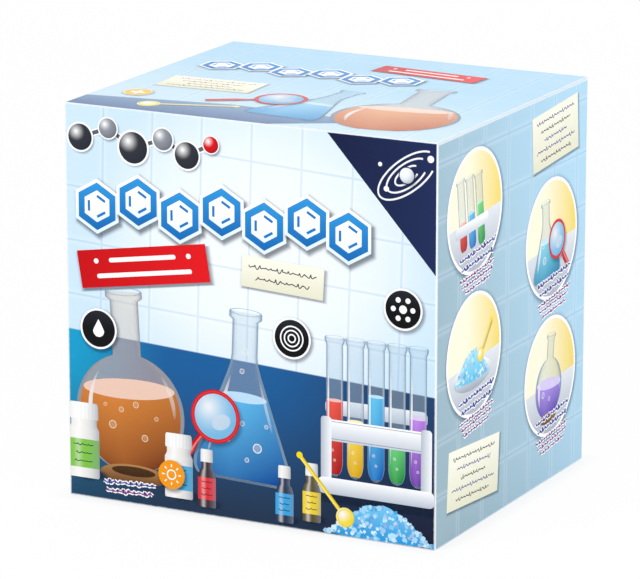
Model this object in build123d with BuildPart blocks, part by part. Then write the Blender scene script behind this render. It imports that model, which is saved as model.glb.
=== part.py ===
from build123d import *
import os
from math import cos, radians, sin, tan

# Chemistry set case: a folding carton with a tuck-in lid, packed with the set that it is sold to hold.
# Millimetres, +Z up. The origin is the centre of the carton's underside, and the front panel faces -Y.

os.makedirs("parts", exist_ok=True)

# Carton, in thin corrugated board
case_width = 245.0
case_depth = 210.0
case_height = 242.0
board = 1.2
fold_radius = 0.9
lid_gap = 0.4
tuck_length = 30.0
tuck_lean = 9.0
tuck_inset = 5.0
dust_length = 70.0
dust_rear_gap = 4.0
dust_front_gap = 9.0
dust_taper = 36.0
glue_tab_width = 16.0
bottom_side_length = 76.0
bottom_gap = 0.5

# Folded card insert that lifts the set up to the opening, with the booklet behind it
insert_gap = 0.6
deck_height = 80.0
booklet_slot = 3.6
booklet_width = 148.0
booklet_height = 205.0
booklet_thickness = 2.6
booklet_spine_radius = 1.1

# Card rack that keeps jars and droppers upright
rack_height = 26.0
rack_margin = 4.0
rack_front_gap = 5.0
rack_spacing = 6.0
rack_play = 0.6
rack_places = 3

# Powder jars
jar_radius = 16.0
jar_height = 38.0
jar_wall = 1.3
jar_neck_height = 11.0
jar_neck_step = 2.6
jar_shoulder = 2.0
jar_cap_inset = 0.5
jar_foot_radius = 1.0
cap_wall = 1.6
cap_play = 0.35
cap_lift = 0.6
cap_flutes = 36
cap_flute_radius = 0.45
powder_level = 30.0
fill_gap = 0.1

# Dropper bottles for food dye
dropper_radius = 10.5
dropper_height = 29.0
dropper_wall = 1.1
dropper_neck_radius = 6.4
dropper_neck_height = 8.0
dropper_shoulder = 2.5
dropper_foot_radius = 0.9
dropper_cap_radius = 8.6
dropper_cap_taper = 5.0
dropper_tip_radius = 3.6
dropper_tip_height = 15.0
dropper_tip_round = 1.1
nozzle_flange = 1.2
nozzle_radius = 1.7
nozzle_bore = 0.5
nozzle_length = 10.0
dye_level = 22.0

# Clear beaker and petri dish
beaker_radius = 26.0
beaker_foot_radius = 21.0
beaker_height = 64.0
beaker_wall = 1.4
beaker_edge_radius = 1.1
dish_radius = 26.5
dish_height = 12.0
dish_wall = 1.3

# Workstation: tray, light drum and tool pot
station_depth = 130.0
station_gap = 3.0
station_rack_gap = 10.2
station_height = 18.0
station_wall = 2.2
station_rim = 4.0
station_corner = 4.0
station_floor = 9.0
station_front_cut = 30.0
station_rear_cut = 22.0
tab_width = 36.0
tab_depth = 14.0
tab_taper = 6.0
tab_side_gap = 11.0
drum_radius = 36.0
drum_step = 4.0
drum_tier = 11.0
drum_wall = 2.0
drum_edge_radius = 1.6
drum_front_gap = 3.0
window_radius = 22.0
window_thickness = 2.0
window_ledge = 2.0
window_play = 0.2
circuit_radius = 24.0
circuit_thickness = 1.6
circuit_height = 15.0
circuit_post_radius = 2.2
circuit_post_ring = 20.5
circuit_post_angle = 60.0
led_count = 4
led_radius = 2.5
led_height = 5.0
led_ring = 14.0
led_dome_radius = 2.2
pot_width = 62.0
pot_depth = 28.0
pot_height = 58.0
pot_cut = 11.0
pot_wall = 2.2
pot_floor = 2.4
pot_rear_gap = 1.0
pot_offset = -14.0
battery_width = 56.0
battery_depth = 30.0
battery_cover = 2.0
battery_wall = 1.6
button_radius = 4.5
button_flange = 1.4
button_height = 3.0
button_flange_height = 2.0
button_play = 0.3

# Lens arm on the workstation
arm_angle = -35.0
arm_reach = 50.0
boss_radius = 7.0
boss_height = 13.0
swivel_pin_radius = 3.0
swivel_pin_length = 9.0
swivel_disc_height = 3.0
pin_radius = 1.8
pin_play = 0.05
knuckle_radius = 5.0
knuckle_width = 6.0
knuckle_play = 0.35
knuckle_gap = 1.0
cheek_thickness = 2.6
lower_arm_length = 42.0
lower_arm_lean = 12.0
lower_arm_width = 8.0
lens_arm_length = 30.0
lens_arm_rise = 18.0
lens_radius = 24.0
lens_bevel = 1.6
lens_edge = 1.0
lens_play = 0.15
lens_frame_width = 3.2
lens_frame_thickness = 4.6
lens_ledge = 1.2

# Rectangular hand lens
sheet_width = 82.0
sheet_height = 52.0
sheet_thickness = 2.0
sheet_stem = 16.0
frame_corner = 3.0

# Magnifying safety glasses, packed with their temples folded
glasses_side_gap = 8.0
glasses_bow = 24.0
glasses_rear_gap = 14.0
visor_height = 40.0
visor_thickness = 1.6
nose_width = 34.0
nose_height = 24.0
nose_bridge = 12.0
brow_height = 9.0
brow_overhang = 3.0
lug_width = 6.0
lug_depth = 13.0
temple_end_gap = 14.0
temple_height = 7.0
temple_thickness = 2.8
temple_gap = 1.0

# Hand tools, standing in the tool pot
stick_length = 104.0
stick_width = 9.0
stick_thickness = 2.0
stick_gap = 0.6
stick_end_radius = 4.0
stick_place = (11.0, 5.0)
spoon_length = 98.0
spoon_width = 6.0
spoon_thickness = 2.4
spoon_bowl_radius = 9.0
spoon_bowl_depth = 5.0
spoon_wall = 1.2
spoon_place = (17.0, -5.0)
tweezer_length = 96.0
tweezer_opening = 12.0
tweezer_leg = 2.0
tweezer_depth = 6.0
tweezer_bridge = 12.0
tweezer_place = (-15.0, 0.0)
pipette_length = 102.0
pipette_radius = 2.4
pipette_bulb_radius = 5.2
pipette_bulb_length = 30.0
pipette_wall = 0.8
pipette_tip = 8.0
pipette_tip_radius = 1.3
pipette_place = (-1.0, -4.0)

# Planes and edges worked out from the sizes
half_width = case_width / 2
half_depth = case_depth / 2
inner_half_width = half_width - board
inner_half_depth = half_depth - board
floor_top = 2 * board
lid_under = case_height - board
insert_half_width = inner_half_width - board - insert_gap
insert_front = -inner_half_depth + insert_gap
insert_back = inner_half_depth - booklet_slot


def save(builder, name):
    """Labels a finished piece and writes its STEP file."""
    builder.part.label = name
    export_step(builder.part, f"parts/{name}.step")


def plate(name, x_range, y_range, z_range):
    """A flat rectangular piece between the given planes."""
    with BuildPart() as piece:
        with BuildSketch(Plane.XY.offset(z_range[0])):
            with Locations((sum(x_range) / 2, sum(y_range) / 2)):
                Rectangle(x_range[1] - x_range[0], y_range[1] - y_range[0])
        extrude(amount=z_range[1] - z_range[0])
    save(piece, name)


# Sleeve: four walls, mitred where the board is creased
def sleeve_panel(name, outline, height):
    """One wall of the sleeve, cut from its rounded ring of board by a mitred outline."""
    with BuildPart() as panel:
        with BuildSketch():
            RectangleRounded(case_width, case_depth, fold_radius)
            Rectangle(2 * inner_half_width, 2 * inner_half_depth, mode=Mode.SUBTRACT)
            with BuildLine():
                Polyline(*outline, close=True)
            make_face(mode=Mode.INTERSECT)
        extrude(amount=height)
    save(panel, name)


mitre = 2 * board
for name, side, height in (("front_panel", -1, case_height), ("back_panel", 1, lid_under)):
    edge = side * half_depth
    inside = side * (half_depth - mitre)
    inner = half_width - mitre
    ends = [(-half_width, edge), (half_width, edge), (inner, inside), (-inner, inside)]
    sleeve_panel(name, ends, height)
for name, side in (("left_panel", -1), ("right_panel", 1)):
    edge = side * half_width
    inside = side * (half_width - mitre)
    inner = half_depth - mitre
    ends = [(edge, -half_depth), (edge, half_depth), (inside, inner), (inside, -inner)]
    sleeve_panel(name, ends, lid_under)

# The seam is a tab on the back panel, glued inside the left panel
plate(
    "glue_tab",
    (-inner_half_width, -inner_half_width + board),
    (inner_half_depth - glue_tab_width, inner_half_depth),
    (floor_top, lid_under - 2 * board),
)

# Underside: two outer flaps that the case stands on, and two inner ones
for name, side in (("bottom_flap_front", -1), ("bottom_flap_back", 1)):
    reach = sorted((side * bottom_gap / 2, side * inner_half_depth))
    plate(name, (-inner_half_width, inner_half_width), reach, (0, board))
for name, side in (("bottom_flap_left", -1), ("bottom_flap_right", 1)):
    reach = sorted((side * (inner_half_width - bottom_side_length), side * inner_half_width))
    plate(name, reach, (-inner_half_depth, inner_half_depth), (board, floor_top))

# Lid, hinged on the back panel
lid_front = -inner_half_depth + lid_gap
with BuildPart() as lid_panel:
    with BuildSketch(Plane.XY.offset(lid_under)):
        with Locations((0, (half_depth + lid_front) / 2)):
            Rectangle(case_width - 2 * lid_gap, half_depth - lid_front)
    extrude(amount=board)
    fillet(lid_panel.faces().sort_by(Axis.Z)[-1].edges().filter_by(Axis.X), radius=fold_radius)
save(lid_panel, "lid_panel")

# Tuck flap, hanging from the lid's front fold and leaning into the case
tuck_plane = Plane(
    origin=(0, lid_front, lid_under - board * sin(radians(tuck_lean))),
    x_dir=(1, 0, 0),
    z_dir=(0, -cos(radians(tuck_lean)), -sin(radians(tuck_lean))),
)
with BuildPart() as tuck_flap:
    with BuildSketch(tuck_plane) as tuck_outline:
        with Locations((0, -tuck_length / 2)):
            Rectangle(2 * (inner_half_width - tuck_inset), tuck_length)
        fillet(tuck_outline.vertices().group_by(Axis.Z)[0], radius=tuck_length / 2)
    extrude(amount=-board)
save(tuck_flap, "tuck_flap")

# Dust flaps, folded in from the side panels, tapered so that the rising lid clears them
dust_front = -inner_half_depth + dust_front_gap
dust_rear = inner_half_depth - dust_rear_gap
for name, side in (("dust_flap_left", -1), ("dust_flap_right", 1)):
    fold = side * inner_half_width
    tip = side * (inner_half_width - dust_length)
    with BuildPart() as dust_flap:
        with BuildSketch(Plane.XY.offset(lid_under - board)) as dust_outline:
            with BuildLine():
                Polyline(
                    (fold, dust_front),
                    (tip, dust_front + dust_front_gap),
                    (tip, dust_rear - dust_length * tan(radians(dust_taper))),
                    (fold, dust_rear),
                    close=True,
                )
            make_face()
            free_corners = dust_outline.vertices().filter_by(lambda v: abs(v.X - tip) < board)
            fillet(free_corners, radius=dust_front_gap / 2)
        extrude(amount=board)
    save(dust_flap, name)

# Insert: a deck on two folded legs
deck_under = deck_height - board
plate(
    "insert_deck",
    (-insert_half_width, insert_half_width),
    (insert_front, insert_back),
    (deck_under, deck_height),
)
for name, low in (("insert_front_leg", insert_front), ("insert_back_leg", insert_back - board)):
    plate(name, (-insert_half_width, insert_half_width), (low, low + board), (floor_top, deck_under))

# Booklet, standing between the insert and the back panel
with BuildPart() as booklet:
    with BuildSketch(Plane.XY.offset(floor_top)):
        with Locations((0, insert_back + booklet_thickness / 2)):
            Rectangle(booklet_width, booklet_thickness)
    extrude(amount=booklet_height)
    fillet(booklet.edges().filter_by(Axis.Z).sort_by(Axis.X)[:2], radius=booklet_spine_radius)
save(booklet, "booklet")

# Rack: a plate with holes on two folded legs, along the right of the deck
jar_hole = jar_radius + rack_play
dropper_hole = dropper_radius + rack_play
rack_right = insert_half_width
rack_left = rack_right - 2 * (board + rack_margin) - 2 * jar_hole - rack_spacing - 2 * dropper_hole
rack_front = insert_front + rack_front_gap
rack_pitch = 2 * jar_hole + rack_spacing
rack_back = rack_front + 2 * rack_margin + rack_places * rack_pitch - rack_spacing
rack_top = deck_height + rack_height
jar_x = rack_right - board - rack_margin - jar_hole
dropper_x = rack_left + board + rack_margin + dropper_hole
row_ys = [rack_front + rack_margin + jar_hole + i * rack_pitch for i in range(rack_places)]

with BuildPart() as rack_plate:
    with BuildSketch(Plane.XY.offset(rack_top - board)):
        with Locations(((rack_left + rack_right) / 2, (rack_front + rack_back) / 2)):
            Rectangle(rack_right - rack_left, rack_back - rack_front)
        with Locations([(jar_x, y) for y in row_ys]):
            Circle(jar_hole, mode=Mode.SUBTRACT)
        with Locations([(dropper_x, y) for y in row_ys]):
            Circle(dropper_hole, mode=Mode.SUBTRACT)
    extrude(amount=board)
save(rack_plate, "rack_plate")
for name, low in (("rack_left_leg", rack_left), ("rack_right_leg", rack_right - board)):
    plate(name, (low, low + board), (rack_front, rack_back), (deck_height, rack_top - board))

# Powder jars, each with a fluted screw cap
jar_neck_radius = jar_radius - jar_neck_step
jar_neck_base = jar_height + jar_shoulder
jar_rim = jar_neck_base + jar_neck_height
jar_cap_base = jar_neck_base + cap_lift
jar_cap_radius = jar_radius - jar_cap_inset
for number, y in enumerate(row_ys, start=1):
    seat = Plane((jar_x, y, deck_height), x_dir=(1, 0, 0), z_dir=(0, -1, 0))
    with BuildPart() as jar:
        with BuildSketch(seat):
            with BuildLine():
                Polyline(
                    (0, 0),
                    (jar_radius, 0),
                    (jar_radius, jar_height),
                    (jar_neck_radius, jar_neck_base),
                    (jar_neck_radius, jar_rim),
                    (jar_neck_radius - jar_wall, jar_rim),
                    (jar_neck_radius - jar_wall, jar_neck_base - jar_wall),
                    (jar_radius - jar_wall, jar_height - jar_wall),
                    (jar_radius - jar_wall, jar_wall),
                    (0, jar_wall),
                    close=True,
                )
            make_face()
        revolve(axis=Axis((jar_x, y, 0), (0, 0, 1)))
        fillet(jar.faces().sort_by(Axis.Z)[0].edges(), radius=jar_foot_radius)
    save(jar, f"powder_jar_{number}")

    with BuildPart() as jar_cap:
        with BuildSketch(Plane.XY.offset(deck_height + jar_cap_base)):
            with Locations((jar_x, y)):
                Circle(jar_cap_radius)
                with PolarLocations(jar_cap_radius, cap_flutes):
                    Circle(cap_flute_radius, mode=Mode.SUBTRACT)
        extrude(amount=jar_rim + cap_wall - jar_cap_base)
        with BuildSketch(Plane.XY.offset(deck_height + jar_cap_base)):
            with Locations((jar_x, y)):
                Circle(jar_neck_radius + cap_play)
        extrude(amount=jar_rim - jar_cap_base, mode=Mode.SUBTRACT)
    save(jar_cap, f"powder_jar_{number}_cap")

with BuildPart() as powder:
    with BuildSketch(Plane.XY.offset(deck_height + jar_wall)):
        with Locations([(jar_x, y) for y in row_ys]):
            Circle(jar_radius - jar_wall - fill_gap)
    extrude(amount=powder_level)
save(powder, "jar_powders")

# Dropper bottles: bottle, nozzle plugged into the neck, and a cap that covers the nozzle
dropper_neck_base = dropper_height + dropper_shoulder
dropper_rim = dropper_neck_base + dropper_neck_height
neck_bore = dropper_neck_radius - dropper_wall
nozzle_base = dropper_rim + nozzle_flange
dropper_cap_base = dropper_neck_base + cap_lift
for number, y in enumerate(row_ys, start=1):
    seat = Plane((dropper_x, y, deck_height), x_dir=(1, 0, 0), z_dir=(0, -1, 0))
    spin = Axis((dropper_x, y, 0), (0, 0, 1))
    with BuildPart() as dropper:
        with BuildSketch(seat):
            with BuildLine():
                Polyline(
                    (0, 0),
                    (dropper_radius, 0),
                    (dropper_radius, dropper_height),
                    (dropper_neck_radius, dropper_neck_base),
                    (dropper_neck_radius, dropper_rim),
                    (neck_bore, dropper_rim),
                    (neck_bore, dropper_neck_base - dropper_wall),
                    (dropper_radius - dropper_wall, dropper_height - dropper_wall),
                    (dropper_radius - dropper_wall, dropper_wall),
                    (0, dropper_wall),
                    close=True,
                )
            make_face()
        revolve(axis=spin)
        fillet(dropper.faces().sort_by(Axis.Z)[0].edges(), radius=dropper_foot_radius)
    save(dropper, f"dye_bottle_{number}")

    with BuildPart() as dropper_cap:
        with BuildSketch(seat):
            with BuildLine():
                Polyline(
                    (dropper_neck_radius + cap_play, dropper_cap_base),
                    (dropper_cap_radius, dropper_cap_base),
                    (dropper_cap_radius, nozzle_base),
                    (dropper_tip_radius, nozzle_base + dropper_cap_taper),
                    (dropper_tip_radius, nozzle_base + dropper_tip_height),
                    (0, nozzle_base + dropper_tip_height),
                    (0, nozzle_base + dropper_tip_height - cap_wall),
                    (nozzle_radius + cap_play, nozzle_base + dropper_tip_height - cap_wall),
                    (nozzle_radius + cap_play, nozzle_base),
                    (dropper_neck_radius + cap_play, nozzle_base),
                    close=True,
                )
            make_face()
        revolve(axis=spin)
        fillet(dropper_cap.faces().sort_by(Axis.Z)[-1].edges(), radius=dropper_tip_round)
    save(dropper_cap, f"dye_bottle_{number}_cap")

with BuildPart() as nozzles:
    for y in row_ys:
        with BuildSketch(Plane((dropper_x, y, deck_height), x_dir=(1, 0, 0), z_dir=(0, -1, 0))):
            with BuildLine():
                Polyline(
                    (nozzle_bore, dropper_neck_base),
                    (neck_bore - fill_gap, dropper_neck_base),
                    (neck_bore - fill_gap, dropper_rim),
                    (dropper_neck_radius, dropper_rim),
                    (dropper_neck_radius, nozzle_base),
                    (nozzle_radius, nozzle_base),
                    (nozzle_radius, nozzle_base + nozzle_length),
                    (nozzle_bore, nozzle_base + nozzle_length),
                    close=True,
                )
            make_face()
        revolve(axis=Axis((dropper_x, y, 0), (0, 0, 1)))
save(nozzles, "dropper_nozzles")

with BuildPart() as dyes:
    with BuildSketch(Plane.XY.offset(deck_height + dropper_wall)):
        with Locations([(dropper_x, y) for y in row_ys]):
            Circle(dropper_radius - dropper_wall - fill_gap)
    extrude(amount=dye_level)
save(dyes, "food_dyes")

# Beaker behind the rack, drawn in a little at its foot
beaker_x = (rack_left + rack_right) / 2
beaker_y = (rack_back + insert_back) / 2
with BuildPart() as beaker:
    with BuildSketch(Plane((beaker_x, beaker_y, deck_height), x_dir=(1, 0, 0), z_dir=(0, -1, 0))):
        with BuildLine():
            Polyline(
                (0, 0),
                (beaker_foot_radius, 0),
                (beaker_radius, beaker_height),
                (beaker_radius - beaker_wall, beaker_height),
                (beaker_foot_radius - beaker_wall, beaker_wall),
                (0, beaker_wall),
                close=True,
            )
        make_face()
    revolve(axis=Axis((beaker_x, beaker_y, 0), (0, 0, 1)))
    fillet(beaker.faces().sort_by(Axis.Z)[0].edges(), radius=beaker_edge_radius)
save(beaker, "beaker")

# Workstation tray: an open-topped shell with a tab at the front for the light button
tray_left = -insert_half_width + station_gap
tray_right = rack_left - station_rack_gap
station_width = tray_right - tray_left
station_x = (tray_left + tray_right) / 2
station_y = insert_front + station_gap + station_depth / 2
tray_rear = station_y + station_depth / 2
tray_front = station_y - station_depth / 2 + tab_depth
tab_x = tray_right - station_front_cut - tab_side_gap - tab_width / 2
tab_front = tray_front - tab_depth
tray_top = deck_height + station_height
tray_floor = deck_height + station_floor
tray_outline = [
    (tray_left, tray_rear - station_rear_cut),
    (tray_left + station_rear_cut, tray_rear),
    (tray_right - station_rear_cut, tray_rear),
    (tray_right, tray_rear - station_rear_cut),
    (tray_right, tray_front + station_front_cut),
    (tray_right - station_front_cut, tray_front),
    (tray_left + station_front_cut, tray_front),
    (tray_left, tray_front + station_front_cut),
]
tab_outline = [
    (tab_x - tab_width / 2, tray_front + station_rim),
    (tab_x + tab_width / 2, tray_front + station_rim),
    (tab_x + tab_width / 2, tray_front),
    (tab_x + tab_width / 2 - tab_taper, tab_front),
    (tab_x - tab_width / 2 + tab_taper, tab_front),
    (tab_x - tab_width / 2, tray_front),
]
drum_x = station_x
drum_y = tray_front + station_rim + drum_front_gap + drum_radius
boss_x = drum_x + arm_reach * cos(radians(arm_angle))
boss_y = drum_y + arm_reach * sin(radians(arm_angle))
boss_top = tray_floor + boss_height
circuit_post_x = circuit_post_ring * cos(radians(circuit_post_angle))
circuit_post_y = circuit_post_ring * sin(radians(circuit_post_angle))
button_x = tab_x
button_y = tab_front + station_wall + 2 * button_play + button_radius + button_flange

with BuildPart() as station_tray:
    with BuildSketch(Plane.XY.offset(deck_height)) as tray_sketch:
        with BuildLine():
            Polyline(*tray_outline, close=True)
        make_face()
        with BuildLine():
            Polyline(*tab_outline, close=True)
        make_face()
        fillet(tray_sketch.vertices(), radius=station_corner)
    extrude(amount=station_height)
    # Tray, open at the top
    with BuildSketch(Plane.XY.offset(tray_floor)) as recess:
        with BuildLine():
            Polyline(*tray_outline, close=True)
        make_face()
        offset(amount=-station_rim, kind=Kind.INTERSECTION)
        fillet(recess.vertices(), radius=station_corner)
    extrude(amount=station_height, mode=Mode.SUBTRACT)
    # Hollow underside, higher under the tab
    with BuildSketch(Plane.XY.offset(deck_height)):
        with BuildLine():
            Polyline(*tray_outline, close=True)
        make_face()
        offset(amount=-station_wall, kind=Kind.INTERSECTION)
        with Locations((drum_x, drum_y)):
            Rectangle(battery_width, battery_depth, mode=Mode.SUBTRACT)
    extrude(amount=station_floor - station_wall, mode=Mode.SUBTRACT)
    with BuildSketch(Plane.XY.offset(deck_height)):
        with BuildLine():
            Polyline(*tab_outline, close=True)
        make_face()
        offset(amount=-station_wall, kind=Kind.INTERSECTION)
    extrude(amount=station_height - station_wall, mode=Mode.SUBTRACT)
    # Battery compartment, reaching up into the drum, with its cover recessed below
    with BuildSketch(Plane.XY.offset(deck_height)):
        with Locations((drum_x, drum_y)):
            Rectangle(battery_width - 2 * battery_wall, battery_depth - 2 * battery_wall)
    extrude(amount=station_height, mode=Mode.SUBTRACT)
    with BuildSketch(Plane.XY.offset(deck_height)):
        with Locations((drum_x, drum_y)):
            Rectangle(battery_width, battery_depth)
    extrude(amount=battery_cover, mode=Mode.SUBTRACT)
    # Posts for the circuit board
    with BuildSketch(Plane.XY.offset(tray_floor)):
        with Locations((drum_x, drum_y)):
            with Locations([(a * circuit_post_x, b * circuit_post_y) for a in (-1, 1) for b in (-1, 1)]):
                Circle(circuit_post_radius)
    extrude(amount=circuit_height)
    # Boss for the lens arm, and the button's hole
    with BuildSketch(Plane.XY.offset(tray_floor)):
        with Locations((boss_x, boss_y)):
            Circle(boss_radius)
    extrude(amount=boss_height)
    with BuildSketch(Plane.XY.offset(boss_top)):
        with Locations((boss_x, boss_y)):
            Circle(swivel_pin_radius + pin_play)
    extrude(amount=-swivel_pin_length - knuckle_gap, mode=Mode.SUBTRACT)
    with BuildSketch(Plane.XY.offset(tray_top)):
        with Locations((button_x, button_y)):
            Circle(button_radius + button_play)
    extrude(amount=-station_wall, mode=Mode.SUBTRACT)
save(station_tray, "station_tray")

plate(
    "battery_cover",
    (drum_x - battery_width / 2, drum_x + battery_width / 2),
    (drum_y - battery_depth / 2, drum_y + battery_depth / 2),
    (deck_height, deck_height + battery_cover),
)

# Light button, held under the tab by its flange
with BuildPart() as light_button:
    with BuildSketch(Plane.XY.offset(tray_top - station_wall)):
        with Locations((button_x, button_y)):
            Circle(button_radius)
    extrude(amount=station_wall + button_height)
    fillet(light_button.faces().sort_by(Axis.Z)[-1].edges(), radius=button_height / 2)
    with BuildSketch(Plane.XY.offset(tray_top - station_wall)):
        with Locations((button_x, button_y)):
            Circle(button_radius + button_flange)
    extrude(amount=-button_flange_height)
save(light_button, "light_button")

# Stepped drum with a window on top, lit by the circuit board inside
drum_axis = Axis((drum_x, drum_y, 0), (0, 0, 1))
drum_height = 3 * drum_tier
middle_radius = drum_radius - drum_step
top_radius = middle_radius - drum_step
window_seat = drum_height - window_thickness
with BuildPart() as light_drum:
    with BuildSketch(Plane((drum_x, drum_y, tray_floor), x_dir=(1, 0, 0), z_dir=(0, -1, 0))):
        with BuildLine():
            Polyline(
                (drum_radius, 0),
                (drum_radius, drum_tier),
                (middle_radius, drum_tier),
                (middle_radius, 2 * drum_tier),
                (top_radius, 2 * drum_tier),
                (top_radius, drum_height),
                (window_radius + window_play, drum_height),
                (window_radius + window_play, window_seat),
                (window_radius - window_ledge, window_seat),
                (window_radius - window_ledge, window_seat - drum_wall),
                (top_radius - drum_wall, window_seat - drum_wall),
                (top_radius - drum_wall, 2 * drum_tier - drum_wall),
                (middle_radius - drum_wall, 2 * drum_tier - drum_wall),
                (middle_radius - drum_wall, drum_tier - drum_wall),
                (drum_radius - drum_wall, drum_tier - drum_wall),
                (drum_radius - drum_wall, 0),
                close=True,
            )
        make_face()
    revolve(axis=drum_axis)
    rims = light_drum.edges().filter_by(GeomType.CIRCLE)
    outer_rims = [e for e in rims if any(
        abs(e.radius - r) < drum_wall / 10 and abs(e.center().Z - tray_floor - h) < drum_wall / 10
        for r, h in ((drum_radius, drum_tier), (middle_radius, 2 * drum_tier), (top_radius, drum_height)))]
    fillet(outer_rims, radius=drum_edge_radius)
save(light_drum, "light_drum")

with BuildPart() as drum_window:
    with BuildSketch(Plane.XY.offset(tray_floor + window_seat)):
        with Locations((drum_x, drum_y)):
            Circle(window_radius)
    extrude(amount=window_thickness)
save(drum_window, "drum_window")

circuit_top = tray_floor + circuit_height + circuit_thickness
with BuildPart() as circuit_board:
    with BuildSketch(Plane.XY.offset(tray_floor + circuit_height)):
        with Locations((drum_x, drum_y)):
            Circle(circuit_radius)
    extrude(amount=circuit_thickness)
save(circuit_board, "circuit_board")

with BuildPart() as leds:
    with BuildSketch(Plane.XY.offset(circuit_top)):
        with Locations((drum_x, drum_y)):
            with PolarLocations(led_ring, led_count):
                Circle(led_radius)
    extrude(amount=led_height)
    fillet(leds.faces().group_by(Axis.Z)[-1].edges(), radius=led_dome_radius)
save(leds, "leds")

# Petri dish, on the drum
dish_base = tray_floor + drum_height
with BuildPart() as petri_dish:
    with BuildSketch(Plane.XY.offset(dish_base)):
        with Locations((drum_x, drum_y)):
            Circle(dish_radius)
    extrude(amount=dish_height)
    with BuildSketch(Plane.XY.offset(dish_base + dish_wall)):
        with Locations((drum_x, drum_y)):
            Circle(dish_radius - dish_wall)
    extrude(amount=dish_height, mode=Mode.SUBTRACT)
save(petri_dish, "petri_dish")

# Tool pot, at the back of the tray
pot_x = station_x + pot_offset
pot_y = tray_rear - station_rim - pot_rear_gap - pot_depth / 2
with BuildPart() as tool_pot:
    with BuildSketch(Plane.XY.offset(tray_floor)) as pot_sketch:
        with Locations((pot_x, pot_y)):
            Rectangle(pot_width, pot_depth)
        chamfer(pot_sketch.vertices(), length=pot_cut)
    extrude(amount=pot_height)
    with BuildSketch(Plane.XY.offset(tray_floor + pot_floor)) as pot_inside:
        with Locations((pot_x, pot_y)):
            Rectangle(pot_width, pot_depth)
        chamfer(pot_inside.vertices(), length=pot_cut)
        offset(amount=-pot_wall, kind=Kind.INTERSECTION)
    extrude(amount=pot_height, mode=Mode.SUBTRACT)
save(tool_pot, "tool_pot")

# Tools, standing on the pot's floor
tool_base = tray_floor + pot_floor


def tool_plane(place):
    """The upright plane, facing the front, where a tool stands in the pot."""
    return Plane((pot_x + place[0], pot_y + place[1], tool_base), x_dir=(1, 0, 0), z_dir=(0, -1, 0))


with BuildPart() as sticks:
    for side in (-1, 1):
        middle = side * (stick_thickness + stick_gap) / 2
        with BuildSketch(tool_plane(stick_place).offset(middle - stick_thickness / 2)) as stick_outline:
            with Locations((0, stick_length / 2)):
                Rectangle(stick_width, stick_length)
            fillet(stick_outline.vertices().group_by(Axis.Z)[-1], radius=stick_end_radius)
        extrude(amount=stick_thickness)
save(sticks, "wooden_sticks")

bowl_sphere = (spoon_bowl_radius**2 + spoon_bowl_depth**2) / (2 * spoon_bowl_depth)
spoon_rim_y = pot_y + spoon_place[1]
bowl_z = tool_base + spoon_length - spoon_bowl_radius
with BuildPart() as spoon:
    with Locations((pot_x + spoon_place[0], spoon_rim_y - bowl_sphere + spoon_bowl_depth, bowl_z)):
        Sphere(radius=bowl_sphere)
        Sphere(radius=bowl_sphere - spoon_wall, mode=Mode.SUBTRACT)
    split(bisect_by=Plane((0, spoon_rim_y, 0), z_dir=(0, 1, 0)), keep=Keep.TOP)
    with BuildSketch(tool_plane(spoon_place)):
        with Locations((0, (spoon_length - 2 * spoon_bowl_radius + spoon_wall) / 2)):
            Rectangle(spoon_width, spoon_length - 2 * spoon_bowl_radius + spoon_wall)
    extrude(amount=-spoon_thickness)
save(spoon, "spoon")

with BuildPart() as tweezers:
    with BuildSketch(tool_plane(tweezer_place)):
        with BuildLine():
            Polyline(
                (-tweezer_opening / 2 - tweezer_leg, 0),
                (-tweezer_leg, tweezer_length),
                (tweezer_leg, tweezer_length),
                (tweezer_opening / 2 + tweezer_leg, 0),
                (tweezer_opening / 2, 0),
                (0, tweezer_length - tweezer_bridge),
                (-tweezer_opening / 2, 0),
                close=True,
            )
        make_face()
    extrude(amount=tweezer_depth / 2, both=True)
save(tweezers, "tweezers")

bulb_base = pipette_length - pipette_bulb_length
with BuildPart() as pipette:
    with BuildSketch(tool_plane(pipette_place)):
        with BuildLine():
            Polyline(
                (pipette_tip_radius, 0),
                (pipette_radius, pipette_tip),
                (pipette_radius, bulb_base),
                (pipette_bulb_radius, bulb_base + pipette_bulb_radius),
                (pipette_bulb_radius, pipette_length - pipette_bulb_radius),
                (pipette_radius, pipette_length),
                (0, pipette_length),
                (0, pipette_length - pipette_wall),
                (pipette_radius - pipette_wall, pipette_length - pipette_wall),
                (pipette_bulb_radius - pipette_wall, pipette_length - pipette_bulb_radius),
                (pipette_bulb_radius - pipette_wall, bulb_base + pipette_bulb_radius),
                (pipette_radius - pipette_wall, bulb_base),
                (pipette_radius - pipette_wall, pipette_tip),
                (pipette_tip_radius - pipette_wall, 0),
                close=True,
            )
        make_face()
    revolve(axis=Axis((pot_x + pipette_place[0], pot_y + pipette_place[1], 0), (0, 0, 1)))
save(pipette, "pipette")

# Lens arm. Its links are drawn in upright planes across its pins: y runs up, and x towards the drum
aim = radians(arm_angle + 180)
across = (sin(aim), -cos(aim), 0)


def arm_plane(origin, rise):
    """The arm's plane at a joint, turned so that its x axis rises by that many degrees."""
    rise = radians(rise)
    return Plane(origin, x_dir=(cos(aim) * cos(rise), sin(aim) * cos(rise), sin(rise)), z_dir=across)


shoulder_z = boss_top + swivel_disc_height + knuckle_gap + knuckle_radius
upright_plane = arm_plane((boss_x, boss_y, shoulder_z), 0)
eye_half = knuckle_width / 2
slot_half = eye_half + knuckle_play
clevis_half = slot_half + cheek_thickness
web_start = 2 * knuckle_radius + knuckle_gap
web_end = lower_arm_length - knuckle_radius - knuckle_gap
slot_reach = 4 * knuckle_radius

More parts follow.
